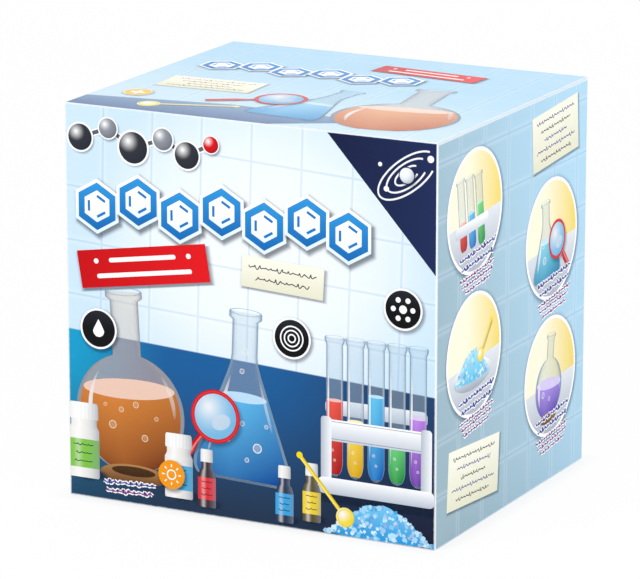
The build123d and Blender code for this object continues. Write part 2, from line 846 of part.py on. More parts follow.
with BuildPart() as arm_swivel:
    with BuildSketch(Plane.XY.offset(boss_top)):
        with Locations((boss_x, boss_y)):
            Circle(boss_radius)
    extrude(amount=swivel_disc_height)
    with BuildSketch(Plane.XY.offset(boss_top)):
        with Locations((boss_x, boss_y)):
            Circle(swivel_pin_radius)
    extrude(amount=-swivel_pin_length)
    with BuildSketch(upright_plane.offset(-clevis_half)):
        Circle(knuckle_radius)
        with Locations((0, -(knuckle_radius + knuckle_gap) / 2)):
            Rectangle(2 * knuckle_radius, knuckle_radius + knuckle_gap)
    extrude(amount=2 * clevis_half)
    with BuildSketch(upright_plane.offset(-slot_half)):
        Rectangle(slot_reach, 2 * (knuckle_radius + knuckle_gap))
    extrude(amount=2 * slot_half, mode=Mode.SUBTRACT)
    with BuildSketch(upright_plane.offset(-clevis_half)):
        Circle(pin_radius)
    extrude(amount=2 * clevis_half)
save(arm_swivel, "arm_swivel")

lower_plane = arm_plane(upright_plane.origin, lower_arm_lean)
with BuildPart() as lower_arm:
    with BuildSketch(lower_plane.offset(-eye_half)):
        Circle(knuckle_radius)
        with Locations((0, web_end / 2)):
            Rectangle(lower_arm_width, web_end)
    extrude(amount=2 * eye_half)
    with BuildSketch(lower_plane.offset(-clevis_half)):
        with Locations((0, (web_start + lower_arm_length) / 2)):
            Rectangle(2 * knuckle_radius, lower_arm_length - web_start)
        with Locations((0, lower_arm_length)):
            Circle(knuckle_radius)
    extrude(amount=2 * clevis_half)
    with BuildSketch(lower_plane.offset(-slot_half)):
        with Locations((0, web_end + slot_reach / 2)):
            Rectangle(slot_reach, slot_reach)
    extrude(amount=2 * slot_half, mode=Mode.SUBTRACT)
    with BuildSketch(lower_plane.offset(-clevis_half)):
        Circle(pin_radius + pin_play)
    extrude(amount=2 * clevis_half, mode=Mode.SUBTRACT)
    with BuildSketch(lower_plane.offset(-clevis_half)):
        with Locations((0, lower_arm_length)):
            Circle(pin_radius)
    extrude(amount=2 * clevis_half)
save(lower_arm, "lower_arm")

# Round lens: an eye, a flat stem and a ring, with the lens resting on a ledge in the ring
elbow = lower_plane.from_local_coords(Vector(0, lower_arm_length))
head_plane = arm_plane(elbow, lens_arm_rise)
ring_hole = lens_radius + lens_play
ring_radius = ring_hole + lens_frame_width
lens_reach = lens_arm_length + ring_radius
frame_half = lens_frame_thickness / 2
ring_plane = Plane(
    head_plane.from_local_coords(Vector(lens_reach, 0)), x_dir=head_plane.x_dir, z_dir=head_plane.y_dir
)
with BuildPart() as round_lens_frame:
    with BuildSketch(head_plane.offset(-eye_half)):
        Circle(knuckle_radius)
    extrude(amount=2 * eye_half)
    with BuildSketch(ring_plane.offset(-frame_half)):
        Circle(ring_radius)
        with Locations((-lens_reach / 2, 0)):
            Rectangle(lens_reach, knuckle_width)
        Circle(ring_hole, mode=Mode.SUBTRACT)
    extrude(amount=lens_frame_thickness)
    with BuildSketch(ring_plane.offset(-frame_half)):
        Circle(ring_hole)
        Circle(lens_radius - lens_ledge, mode=Mode.SUBTRACT)
    extrude(amount=lens_ledge)
    with BuildSketch(head_plane.offset(-eye_half)):
        Circle(pin_radius + pin_play)
    extrude(amount=2 * eye_half, mode=Mode.SUBTRACT)
save(round_lens_frame, "round_lens_frame")

lens_seat = -frame_half + lens_ledge
lens_shoulder = lens_seat + lens_edge
near_edge = lens_reach - lens_radius
far_edge = lens_reach + lens_radius
with BuildPart() as round_lens:
    with BuildSketch(head_plane):
        with BuildLine():
            ThreePointArc(
                (near_edge, lens_shoulder),
                (lens_reach, lens_shoulder + lens_bevel),
                (far_edge, lens_shoulder),
            )
            Polyline(
                (far_edge, lens_shoulder),
                (far_edge, lens_seat),
                (near_edge, lens_seat),
                (near_edge, lens_shoulder),
            )
        make_face()
        with Locations((near_edge, 0)):
            Rectangle(2 * lens_radius, 4 * lens_frame_thickness, mode=Mode.SUBTRACT)
    revolve(axis=Axis(ring_plane.origin, ring_plane.z_dir))
save(round_lens, "round_lens")

# Rectangular hand lens, standing on its long side against the booklet
sheet_hole_x = sheet_width + 2 * lens_play
sheet_hole_y = sheet_height + 2 * lens_play
frame_x = sheet_hole_x + 2 * lens_frame_width
frame_y = sheet_hole_y + 2 * lens_frame_width
frame_plane = Plane(
    (station_x, insert_back, deck_height + frame_y / 2), x_dir=(1, 0, 0), z_dir=(0, -1, 0)
)
with BuildPart() as rectangular_lens_frame:
    with BuildSketch(frame_plane):
        RectangleRounded(frame_x, frame_y, frame_corner)
        with Locations((0, (frame_y + sheet_stem) / 2)):
            Rectangle(knuckle_width, sheet_stem + lens_frame_width)
        RectangleRounded(sheet_hole_x, sheet_hole_y, frame_corner / 2, mode=Mode.SUBTRACT)
    extrude(amount=lens_frame_thickness)
    with BuildSketch(frame_plane):
        Rectangle(sheet_hole_x, sheet_hole_y)
        Rectangle(sheet_width - 2 * lens_ledge, sheet_height - 2 * lens_ledge, mode=Mode.SUBTRACT)
    extrude(amount=lens_ledge)
save(rectangular_lens_frame, "rectangular_lens_frame")

with BuildPart() as rectangular_lens:
    with BuildSketch(frame_plane.offset(lens_ledge)):
        RectangleRounded(sheet_width, sheet_height, frame_corner / 2)
    extrude(amount=sheet_thickness)
save(rectangular_lens, "rectangular_lens")

# Safety glasses: a wrap-round visor standing on the deck, with a brow on its top edge
glasses_width = station_width - 2 * glasses_side_gap
glasses_y = insert_back - glasses_rear_gap - lug_depth
brow_base = deck_height + visor_height
bow_radius = ((glasses_width / 2) ** 2 + glasses_bow**2) / (2 * glasses_bow)
bow_centre = (0, bow_radius - glasses_bow)

with BuildPart() as glasses_visor:
    with BuildSketch(Plane((station_x, glasses_y, deck_height))):
        with Locations(bow_centre):
            Circle(bow_radius)
            Circle(bow_radius - visor_thickness, mode=Mode.SUBTRACT)
        with Locations((0, -glasses_bow)):
            Rectangle(2 * glasses_width, 2 * glasses_bow, mode=Mode.INTERSECT)
    extrude(amount=visor_height)
    with BuildSketch(Plane((station_x, glasses_y, deck_height), x_dir=(1, 0, 0), z_dir=(0, -1, 0))):
        with BuildLine():
            Polyline(
                (-nose_width / 2, 0),
                (-nose_bridge / 2, nose_height),
                (nose_bridge / 2, nose_height),
                (nose_width / 2, 0),
                close=True,
            )
        make_face()
    extrude(amount=2 * glasses_bow, mode=Mode.SUBTRACT)
save(glasses_visor, "glasses_visor")

lug_x = glasses_width / 2 + brow_overhang - lug_width
temple_length = 2 * lug_x - temple_end_gap
with BuildPart() as glasses_brow:
    with BuildSketch(Plane((station_x, glasses_y, brow_base))):
        with Locations(bow_centre):
            Circle(bow_radius + brow_overhang)
            Circle(bow_radius - visor_thickness, mode=Mode.SUBTRACT)
        with Locations((0, -glasses_bow)):
            Rectangle(glasses_width + 2 * brow_overhang, 2 * glasses_bow, mode=Mode.INTERSECT)
        for side in (-1, 1):
            with Locations((side * (lug_x + lug_width / 2), lug_depth / 2)):
                Rectangle(lug_width, lug_depth)
    extrude(amount=brow_height)
save(glasses_brow, "glasses_brow")

for name, side, row in (("glasses_left_temple", -1, 0), ("glasses_right_temple", 1, 1)):
    root = side * lug_x
    tip = root - side * temple_length
    low = glasses_y + temple_gap + row * (temple_thickness + temple_gap)
    reach = sorted((station_x + root, station_x + tip))
    temple_base = brow_base + (brow_height - temple_height) / 2
    plate(name, reach, (low, low + temple_thickness), (temple_base, temple_base + temple_height))
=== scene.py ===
import math
from functools import partialmethod
import bmesh
import bpy
import numpy as np
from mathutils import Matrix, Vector


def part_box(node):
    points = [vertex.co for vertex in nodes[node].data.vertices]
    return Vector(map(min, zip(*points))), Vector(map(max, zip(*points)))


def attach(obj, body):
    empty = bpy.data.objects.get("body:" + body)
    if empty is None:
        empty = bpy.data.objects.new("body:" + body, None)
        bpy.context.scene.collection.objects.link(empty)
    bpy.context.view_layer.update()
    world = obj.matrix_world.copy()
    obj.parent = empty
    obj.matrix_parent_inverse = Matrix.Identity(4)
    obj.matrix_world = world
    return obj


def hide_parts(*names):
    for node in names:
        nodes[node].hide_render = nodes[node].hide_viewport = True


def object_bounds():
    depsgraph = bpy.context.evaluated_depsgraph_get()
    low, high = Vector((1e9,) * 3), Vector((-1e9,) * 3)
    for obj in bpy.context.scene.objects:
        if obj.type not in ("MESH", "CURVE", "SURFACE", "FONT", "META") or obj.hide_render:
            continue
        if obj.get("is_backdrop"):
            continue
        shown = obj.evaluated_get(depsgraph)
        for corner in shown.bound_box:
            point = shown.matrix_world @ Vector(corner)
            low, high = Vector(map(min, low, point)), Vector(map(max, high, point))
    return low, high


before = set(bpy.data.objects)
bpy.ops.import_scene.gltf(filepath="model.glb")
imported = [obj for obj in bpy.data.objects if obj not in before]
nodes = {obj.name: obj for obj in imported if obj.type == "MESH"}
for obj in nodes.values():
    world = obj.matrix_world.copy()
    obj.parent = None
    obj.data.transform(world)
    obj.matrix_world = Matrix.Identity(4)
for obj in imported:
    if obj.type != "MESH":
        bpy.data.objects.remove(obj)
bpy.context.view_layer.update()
scene = bpy.context.scene
print("frame loaded:", len(nodes), "pieces")

# Camera, three quarters from the right and a little above
cameraView = {"place": (1.146, -2.238, 0.765), "turn": 27.25, "down": 14.43, "lens": 240.9, "sensor": 36,
              "near": 0.05, "far": 60, "bounces": 20, "clearLayers": 32}
turn, down = math.radians(cameraView["turn"]), math.radians(cameraView["down"])
aim = Vector((-math.sin(turn) * math.cos(down), math.cos(turn) * math.cos(down), -math.sin(down)))
camera = bpy.data.objects.new("camera", bpy.data.cameras.new("camera"))
camera.location = cameraView["place"]
camera.rotation_euler = aim.to_track_quat("-Z", "Y").to_euler()
camera.data.lens = cameraView["lens"]
camera.data.sensor_width = cameraView["sensor"]
camera.data.clip_start, camera.data.clip_end = cameraView["near"], cameraView["far"]
scene.collection.objects.link(camera)
scene.camera = camera
scene.view_settings.view_transform = "Standard"
scene.cycles.transparent_max_bounces = cameraView["clearLayers"]
scene.cycles.max_bounces = cameraView["bounces"]
scene.cycles.transmission_bounces = cameraView["bounces"]

white = "#FFFFFF"


def rgb(text):
    # a screen colour such as "#1277C4" as linear red, green and blue
    screen = np.array([int(text[i:i + 2], 16) for i in (1, 3, 5)]) / 255
    return np.where(screen <= 0.04045, screen / 12.92, ((screen + 0.055) / 1.055) ** 2.4)


def colour(text):
    return (*rgb(text).tolist(), 1.0)


class Value:
    # one output of a node; sums on it add Math nodes to the same tree
    def __init__(self, tree, socket):
        self.tree, self.socket = tree, socket

    def sum(self, operation, *others):
        return self.tree.add("ShaderNodeMath", {"operation": operation}, dict(enumerate((self, *others))))

    def __rsub__(self, other):
        return self.tree.add("ShaderNodeMath", {"operation": "SUBTRACT"}, {0: other, 1: self})

    def ease(self, low, high):
        # 0 below low, 1 above high, smooth between; high may be the lower of the two
        flip = low > high
        return self.tree.add("ShaderNodeMapRange", {"interpolation_type": "SMOOTHSTEP"},
                             {"Value": self, "From Min": min(low, high), "From Max": max(low, high),
                              "To Min": int(flip), "To Max": int(not flip)})


# Python's own signs, and a few plain words, for Math nodes
sums = {"__add__": "ADD", "__radd__": "ADD", "__sub__": "SUBTRACT", "__mul__": "MULTIPLY",
        "__rmul__": "MULTIPLY", "__truediv__": "DIVIDE", "__pow__": "POWER", "__abs__": "ABSOLUTE",
        "__gt__": "GREATER_THAN", "__lt__": "LESS_THAN", "lower": "MINIMUM", "higher": "MAXIMUM",
        "sine": "SINE", "wrap": "PINGPONG"}
for method, operation in sums.items():
    setattr(Value, method, partialmethod(Value.sum, operation))


class Tree:
    # a node tree; add() takes a node's type, its settings, what its sockets take, and the output asked for
    def __init__(self, owner, end="ShaderNodeOutputMaterial"):
        owner.use_nodes = True
        self.tree = owner.node_tree
        self.tree.nodes.clear()
        self.end = self.tree.nodes.new(end)

    def add(self, kind, settings=None, inputs=None, out=0):
        node = self.tree.nodes.new(kind)
        for key, setting in (settings or {}).items():
            setattr(node, key, setting)
        for key, given in (inputs or {}).items():
            if isinstance(given, Value):
                self.tree.links.new(given.socket, node.inputs[key])
            else:
                node.inputs[key].default_value = given
        return Value(self, node.outputs[out])

    def mix(self, factor, first, second):
        shades = [colour(shade) if isinstance(shade, str) else shade for shade in (first, second)]
        return self.add("ShaderNodeMix", {"data_type": "RGBA"}, {0: factor, 6: shades[0], 7: shades[1]}, 2)

    def ray(self, kind):
        return self.add("ShaderNodeLightPath", out=f"Is {kind} Ray")

    def viewed(self):
        # 1 where the camera looks, straight, off a gloss or through clear plastic, and 0 for other light
        return self.ray("Camera").higher(self.ray("Glossy")).higher(self.ray("Transmission"))

    def mixShaders(self, share, first, second):
        return self.add("ShaderNodeMixShader", None, {0: share, 1: first, 2: second})

    def close(self, shader):
        self.tree.links.new(shader.socket, self.end.inputs["Surface"])


# Short names for the sockets of a surface
socketNames = {"gloss": "Specular IOR Level", "clear": "Transmission Weight", "bend": "IOR",
               "metal": "Metallic", "coat": "Coat Weight", "coatRough": "Coat Roughness", "alpha": "Alpha",
               "milk": "Subsurface Weight", "milkReach": "Subsurface Radius"}


class Finish(Tree):
    # a material; x, y and z are the object's own coordinates in millimetres
    def __init__(self, name):
        self.material = bpy.data.materials.new(name)
        super().__init__(self.material)
        self.place = self.add("ShaderNodeTexCoord", out="Object")
        self.x, self.y, self.z = (self.along(self.place, axis) * 1000 for axis in "XYZ")

    def along(self, vector, axis):
        return self.add("ShaderNodeSeparateXYZ", None, {0: vector}, axis)

    def facing(self, axis):
        # how far the surface looks along an axis, such as "+x" or "-z": 1 straight along it, -1 straight away
        normal = self.add("ShaderNodeTexCoord", out="Normal")
        return self.along(normal, axis[1].upper()) * (1 if axis[0] == "+" else -1)

    def noise(self, scale, detail=3.0, stretch=(1, 1, 1)):
        # soft noise with so many lumps to the metre, stretched along the axes
        place = self.add("ShaderNodeMapping", None, {"Vector": self.place, "Scale": stretch})
        return self.add("ShaderNodeTexNoise", None,
                        {"Vector": place, "Scale": scale, "Detail": detail, "Roughness": 0.55}, "Fac")

    def bump(self, height, depth):
        # a Bump node that reads a height from 0 to 1 and makes it so many millimetres
        return self.add("ShaderNodeBump", None, {"Height": height, "Distance": depth / 1000, "Strength": 1.0})

    def surface(self, base, rough, normal, lampTint=None, **more):
        # with a lamp tint, light straight from the lamps goes through and lights what stands behind
        sockets = {"Base Color": base, "Roughness": rough, "Normal": normal}
        sockets.update({socketNames[key]: given for key, given in more.items()})
        shader = self.add("ShaderNodeBsdfPrincipled", None, sockets)
        if lampTint:
            through = self.add("ShaderNodeBsdfTransparent", None, {"Color": colour(lampTint)})
            shader = self.mixShaders(self.ray("Shadow"), shader, through)
        self.close(shader)
        return self.material


def dress(material, *names):
    for name in names:
        for place in nodes[name].material_slots:
            place.material = material


# The carton, in millimetres: its sizes, its tiles, and how its folds are worn white, with a painted highlight
# along them
carton = {"halfWidth": 122.5, "halfDepth": 105.0, "height": 242.0, "tile": 33.0, "joint": 0.55, "lip": 4.0,
          "horizon": 98.0, "slope": -0.05, "wearAndHighlightFrom": 1.55, "wearAndHighlightTo": 0.45, "wearAndHighlightShare": 0.8, "gloss": 0.1}
halfWidth, halfDepth, height = carton["halfWidth"], carton["halfDepth"], carton["height"]

# Studio: white backdrop, soft light from the front left
lamps = {"key": {"place": (-1.0, -2.1, 1.5), "aimHeight": 0.12, "size": 1.3, "power": 23.2},
         "fill": {"place": (2.2, -0.6, 1.0), "aimHeight": 0.12, "size": 1.6, "power": 20.0},
         "top": {"place": (0.1, 0.2, 2.4), "aimHeight": 0.2, "size": 1.6, "power": 6.6},
         "rear": {"place": (-0.9, 2.3, 1.2), "aimHeight": 0.12, "size": 1.6, "power": 9.0}}
for name, given in lamps.items():
    lamp = bpy.data.objects.new(name + "Lamp", bpy.data.lights.new(name + "Lamp", "AREA"))
    lamp.data.shape, lamp.data.size, lamp.data.energy = "DISK", given["size"], given["power"]
    lamp.location = given["place"]
    ray = Vector((0, 0, given["aimHeight"])) - Vector(given["place"])
    lamp.rotation_euler = ray.to_track_quat("-Z", "Y").to_euler()
    scene.collection.objects.link(lamp)

studio = {"sky": 0.62, "floorReach": 9.0, "floorDrop": 0.00005, "floorShown": 0.955, "contact": 0.2,
          "contactWidth": 14.0, "fadeFrom": 2500.0, "fadeTo": 6000.0}
world = bpy.data.worlds.new("studio")
scene.world = world
sky = Tree(world, "ShaderNodeOutputWorld")
soft = sky.add("ShaderNodeBackground", None, {"Color": (0.97, 0.98, 1.0, 1), "Strength": studio["sky"]})
backdrop = sky.add("ShaderNodeBackground", None, {"Color": colour(white), "Strength": 1.0})
sky.close(sky.mixShaders(sky.viewed(), soft, backdrop))


def quadsOf(index, closed=False):
    # faces between the rows and columns of a grid of point numbers; closed joins its last column to the first
    if closed:
        index = np.concatenate([index, index[:, :1]], axis=1)
    return np.stack([index[:-1, :-1], index[:-1, 1:], index[1:, 1:], index[1:, :-1]], axis=-1).reshape(-1, 4)


def newPiece(name, points, faces):
    mesh = bpy.data.meshes.new(name)
    mesh.from_pydata(points.tolist(), [], faces)
    piece = bpy.data.objects.new(name, mesh)
    scene.collection.objects.link(piece)
    return piece


def gridMesh(name, points, closed=False):
    index = np.arange(points.shape[0] * points.shape[1]).reshape(points.shape[:2])
    piece = newPiece(name, points.reshape(-1, 3), quadsOf(index, closed).tolist())
    piece.data.polygons.foreach_set("use_smooth", [True] * len(piece.data.polygons))
    return piece


# Floor: a flat square grid, white with a light grey shadow, darker close round the carton, faded out far away
reach = np.linspace(-studio["floorReach"], studio["floorReach"], 25)
floorX, floorY = np.meshgrid(reach, reach)
floor = gridMesh("floor", np.stack([floorX, floorY, np.full_like(floorX, -studio["floorDrop"])], axis=-1))
paint = Finish("floorPaint")
lit = paint.add("ShaderNodeBsdfDiffuse", None, {"Color": (0.94, 0.94, 0.945, 1)})
glow = paint.add("ShaderNodeEmission", None, {"Color": colour(white), "Strength": 1.0})
nearBox = (abs(paint.x) - halfWidth).higher(abs(paint.y) - halfDepth).ease(studio["contactWidth"], 0.0)
shown = paint.mixShaders(paint.viewed() * (studio["floorShown"] - nearBox * studio["contact"]), lit, glow)
distance = (paint.x * paint.x + paint.y * paint.y) ** 0.5
faded = distance.ease(studio["fadeFrom"], studio["fadeTo"])
paint.close(paint.mixShaders(faded, shown, paint.add("ShaderNodeBsdfTransparent")))
floor.data.materials.append(paint.material)
floor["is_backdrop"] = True
print("studio ready")


def corners(name):
    # a piece's lowest and highest corner at rest, in millimetres
    return [np.array(corner) * 1000 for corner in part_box(name)]


# Carton board: varnished print outside, grey-white card inside, worn white along the folds, where a highlight
# is painted as well
def tiles(finish, across, up, tint, shiftAcross=0.0, shiftUp=0.0):
    # distance to the nearest joint of a square tiling gives a soft line with a faint light edge beside it
    half, joint = carton["tile"] / 2, carton["joint"]
    near = [abs((value + (shift + 40 * half)).sum("MODULO", 2 * half) - half)
            for value, shift in ((across, shiftAcross), (up, shiftUp))]
    edge = near[0].higher(near[1])
    line = edge.ease(half - joint - 0.5, half - joint + 0.3)
    lip = edge.ease(half - carton["lip"], half - joint) * (1 - line)
    return finish.mix(line * 0.5, finish.mix(lip * 0.15, tint, white), finish.mix(0.5, tint, "#86B4D8"))


def cardInk(finish):
    # bare card: warm grey-white, with short darker fibres and faint clouds
    fibres = finish.mix(finish.noise(2600.0, 2.0).ease(0.35, 0.75), "#E4E3DF", "#F3F3F0")
    return finish.mix(finish.noise(45.0, 3.0).ease(0.35, 0.75) * 0.3, fibres, "#DCDAD3")


def foldWearAndHighlight(finish, toEdge):
    # 1 on a fold, where the ink is worn white and an edge highlight is painted, and 0 away from it, with a
    # ragged border
    return (toEdge + finish.noise(900.0, 4.0) * 0.7).ease(carton["wearAndHighlightFrom"], carton["wearAndHighlightTo"])


def boardFinish(node, facing, printed):
    # facing: the way the printed face looks, such as "-y"; its back is bare card, its cut edges pale
    # blue-white, partly a painted highlight along them
    finish = Finish(node + "Board")
    places = (finish.x, finish.y, finish.z)
    across, up = (i for i in range(3) if "xyz"[i] != facing[1])
    low, high = corners(node)
    outside = finish.facing(facing).ease(0.25, 0.6)
    toEdge = [(places[i] - float(low[i])).lower(float(high[i]) - places[i]) for i in (across, up)]
    wearAndHighlight = foldWearAndHighlight(finish, toEdge[0].lower(toEdge[1]))
    # pale along the folds: worn ink, and partly a painted highlight on the fold edges
    picture = finish.mix(wearAndHighlight * carton["wearAndHighlightShare"], printed(finish, places[across], places[up]), "#F6F8FA")
    # cut edges: card tinted pale blue-white, partly a painted edge highlight
    cutEdgeAndHighlight = abs(finish.facing(facing)).ease(0.6, 0.25)
    base = finish.mix(outside, finish.mix(cutEdgeAndHighlight * 0.8, cardInk(finish), "#DCE9F2"), picture)
    waviness = finish.noise(38.0, 2.0) * 0.7 + finish.noise(900.0, 4.0) * 0.12 * (1 - outside)
    rough = 0.74 - outside * 0.32 + finish.noise(160.0, 3.0) * 0.08 + wearAndHighlight * 0.2
    dress(finish.surface(base, rough, finish.bump(waviness, 0.10), gloss=carton["gloss"]), node)


def wallAndBench(finish, across, up):
    # a tiled wall with light on it, over a bench that runs from light blue at the left to navy at the right
    light = (((across - 10) / 115) ** 2 + ((up - 165) / 100) ** 2).ease(1.2, 0.0)
    tint = finish.mix(light, "#CCE4F4", "#F0F6F9")
    wall = tiles(finish, across - up * 0.03, up + across * 0.05, tint, 4.0, 12.0)
    rise = (up / carton["horizon"]).ease(-0.05, 1.0)
    shades = (("#1E4664", "#149CC8"), ("#22354E", "#185C98"), ("#141A30", "#20406A"))
    left, middle, right = (finish.mix(rise, near, far) for near, far in shades)
    bench = finish.mix(across.ease(0.0, 100.0), finish.mix(across.ease(-128.0, -50.0), left, middle), right)
    return finish.mix((up - (carton["horizon"] + across * carton["slope"])).ease(0.5, -0.5), wall, bench)


def sideTiles(shaded, clearer):
    # greyer low down at the front fold, clearer high up at the back one
    def printed(finish, across, up):
        tint = finish.mix((across + up * 0.4).ease(-105.0, 202.0), shaded, clearer)
        return tiles(finish, across, up, tint, 9.0, 2.0)
    return printed


def palerTiles(finish, across, up):
    light = ((across / 140) ** 2 + (up / 120) ** 2).ease(1.1, 0.0)
    return tiles(finish, across, up, finish.mix(light, "#CBE9FA", "#E4F3FB"), 0.0, 16.0)


def lidTiles(finish, across, up):
    tint = finish.mix((up + across * 0.2).ease(70.0, -100.0), "#AED6EE", "#CCE4F0")
    return tiles(finish, across, up, tint, 0.0, 16.0)


def plainBlue(finish, across, up):
    return finish.mix(finish.noise(14.0, 2.0), "#C2DFF2", "#CFE8F8")


for node, facing, printed in (("front_panel", "-y", wallAndBench), ("back_panel", "+y", palerTiles),
                              ("right_panel", "+x", sideTiles("#99B3BF", "#B3DBF2")),
                              ("left_panel", "-x", sideTiles("#B2C7D7", "#BFDDF1")),
                              ("lid_panel", "+z", lidTiles), ("tuck_flap", "-y", plainBlue),
                              ("dust_flap_left", "+z", plainBlue), ("dust_flap_right", "+z", plainBlue),
                              ("bottom_flap_front", "-z", palerTiles), ("bottom_flap_back", "-z", palerTiles),
                              ("bottom_flap_left", "-z", plainBlue), ("bottom_flap_right", "-z", plainBlue),
                              ("glue_tab", "-x", plainBlue)):
    boardFinish(node, facing, printed)
print("carton printed")

# Insert and rack: uncoated card, paler where its edges round over, softly dented
card = Finish("insertCard")
edges = abs(card.facing("+z")).higher(abs(card.facing("+y"))).higher(abs(card.facing("+x"))).ease(0.97, 0.9)
dents = card.noise(26.0, 2.0) * 0.8 + card.noise(1200.0, 3.0) * 0.06
cardTint = card.mix(card.noise(300.0, 4.0).ease(0.4, 0.8) * 0.4 + edges * 0.3, cardInk(card), "#F4F3EF")
dress(card.surface(cardTint, card.noise(200.0, 3.0) * 0.1 + 0.74, card.bump(dents, 0.12), gloss=0.2),
      "insert_deck", "insert_front_leg", "insert_back_leg", "rack_plate", "rack_left_leg", "rack_right_leg")

# Booklet: coated cover, with the pages' edges showing as fine lines
paper = Finish("bookletPaper")
cover = paper.mix((paper.z - paper.x * 0.2).ease(110.0, 210.0), "#2E8CCB", "#8CCBEC")
pages = paper.mix(((paper.y * 38.0).sine() + paper.noise(500.0, 2.0)).ease(-0.6, 1.4), "#BDBBB4", "#F7F6F2")
flat = abs(paper.facing("+y")).ease(0.5, 0.8)
dress(paper.surface(paper.mix(flat, pages, cover), 0.62 - flat * 0.22 + paper.noise(120.0, 3.0) * 0.06,
                    paper.bump(paper.noise(18.0, 2.0), 0.08), gloss=0.3), "booklet")
print("card and paper ready")

# Print: flat coloured patches laid on a face, each a hair above the ones under it
printing = {"lift": 0.007, "margin": 0.8, "smallest": 1e-4}


class PrintSheet:
    # one printed face: u runs to its right and v up it, in millimetres
    def __init__(self, name, body, origin, right, up, least, most):
        self.name, self.body = name, body
        self.origin, self.right, self.up = (np.array(axis, float) for axis in (origin, right, up))
        self.out = np.cross(self.right, self.up)
        self.least, self.most = np.array(least) + printing["margin"], np.array(most) - printing["margin"]
        self.boxes, self.points, self.inks, self.faces, self.total = [], [], [], [], 0

    def lay(self, points, faces, inks, alphas):
        # cuts a patch off at the face's edges, lays it a layer above all that it crosses, drops empty faces
        points = np.clip(points, self.least, self.most)
        a, b, c, d = (points[faces[:, i]] for i in range(4))
        first, second = c - a, d - b
        area = first[:, 0] * second[:, 1] - first[:, 1] * second[:, 0]
        faces = np.where((area > 0)[:, None], faces, faces[:, [3, 2, 1, 0]])[abs(area) > printing["smallest"]]
        if not len(faces):
            return
        low, high = points.min(axis=0), points.max(axis=0)
        level = 1
        if self.boxes:
            laid = np.array(self.boxes)
            over = (laid[:, 0:2] < high).all(axis=1) & (laid[:, 2:4] > low).all(axis=1)
            level = 1 + laid[over, 4].max(initial=0)
        self.boxes.append((*low, *high, level))
        self.points.append(self.spot(points, level * printing["lift"]) / 1000)
        count = len(points)
        self.inks.append(np.column_stack([np.broadcast_to(inks, (count, 3)),
                                          np.broadcast_to(alphas, (count,))]))
        self.faces.append(faces + self.total)
        self.total += count

    def spot(self, points, rise):
        return self.origin + points[:, :1] * self.right + points[:, 1:] * self.up + self.out * rise

    def build(self, finish, slot):
        faces = np.concatenate(self.faces)
        used, again = np.unique(faces, return_inverse=True)
        faces = [list(dict.fromkeys(face)) for face in again.reshape(faces.shape).tolist()]
        piece = newPiece(self.name, np.concatenate(self.points)[used], faces)
        ink = piece.data.color_attributes.new("ink", "FLOAT_COLOR", "POINT")
        ink.data.foreach_set("color", np.concatenate(self.inks)[used].ravel())
        piece.data.materials.append(finish)
        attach(piece, self.body)
        print(self.name, "laid,", len(faces), "faces,", int(max(box[4] for box in self.boxes)), "layers")


class PrintWrap(PrintSheet):
    # print round an upright bottle or cup: u is the arc's length from its front, and v the height
    def __init__(self, name, body, node, low, high, radii):
        lowest, highest = corners(node)
        x, y = (lowest + highest)[:2] / 2
        half = math.pi * sum(radii) / 2
        super().__init__(name, body, (x, y, 0), (1, 0, 0), (0, 0, 1), (-half, low), (half, high))
        self.least, self.most = np.array((-half, low)), np.array((half, high))
        self.ends, self.radii = (low, high), radii

    def spot(self, points, rise):
        # turned round the axis by the arc over the mean radius, as far out as the wall is at that height
        angle = points[:, 0] / (sum(self.radii) / 2) - math.pi / 2
        reach = np.interp(points[:, 1], self.ends, self.radii) + rise
        x, y = self.origin[0] + reach * np.cos(angle), self.origin[1] + reach * np.sin(angle)
        return np.stack([x, y, points[:, 1]], axis=1)


def asked(given, *where):
    # an ink or its strength: a colour's text, a plain value, or a function of the place
    if isinstance(given, str):
        return rgb(given)
    return given(*where) if callable(given) else given


def between(sheet, inner, outer, ink, alpha=1.0, rings=1, middle=None):
    # rows carried evenly from one closed outline out to another; a middle point closes the patch there
    count = len(outer)
    t = np.linspace(0, 1, rings + 1)[:, None, None]
    points = (inner * (1 - t) + outer * t).reshape(-1, 2)
    share = np.repeat(t.ravel(), count)
    index = np.arange((rings + 1) * count).reshape(rings + 1, count)
    faces = quadsOf(index, closed=True)
    if middle is not None:
        hub = np.full(count, len(points))
        points, share = np.vstack([points, middle]), np.append(share, 0.0)
        faces = np.concatenate([faces, np.stack([index[0], np.roll(index[0], -1), hub, hub], axis=-1)])
    sheet.lay(points, faces, asked(ink, points, share), asked(alpha, points, share))


def fill(sheet, outline, ink, alpha=1.0, rings=3, middle=None):
    middle = outline.mean(axis=0) if middle is None else np.array(middle, float)
    between(sheet, middle + (outline - middle) * 0.08, outline, ink, alpha, rings, middle)


def softShadow(sheet, outline, shift=(1.5, -1.7), soft=3.4, strength=0.4, tint="#16263F"):
    # an outline moved aside, whose darkness falls off evenly over a border
    middle = outline.mean(axis=0)
    reach = np.linalg.norm(outline - middle, axis=1, keepdims=True)
    ray = (outline - middle) / reach
    moved = middle + np.array(shift)
    inner, outer = moved + ray * np.maximum(reach - soft * 0.4, 0.05), moved + ray * (reach + soft)
    fill(sheet, inner, tint, strength, 1, moved)
    between(sheet, inner, outer, tint, lambda points, t: strength * (1 - t * t * (3 - 2 * t)), 4)


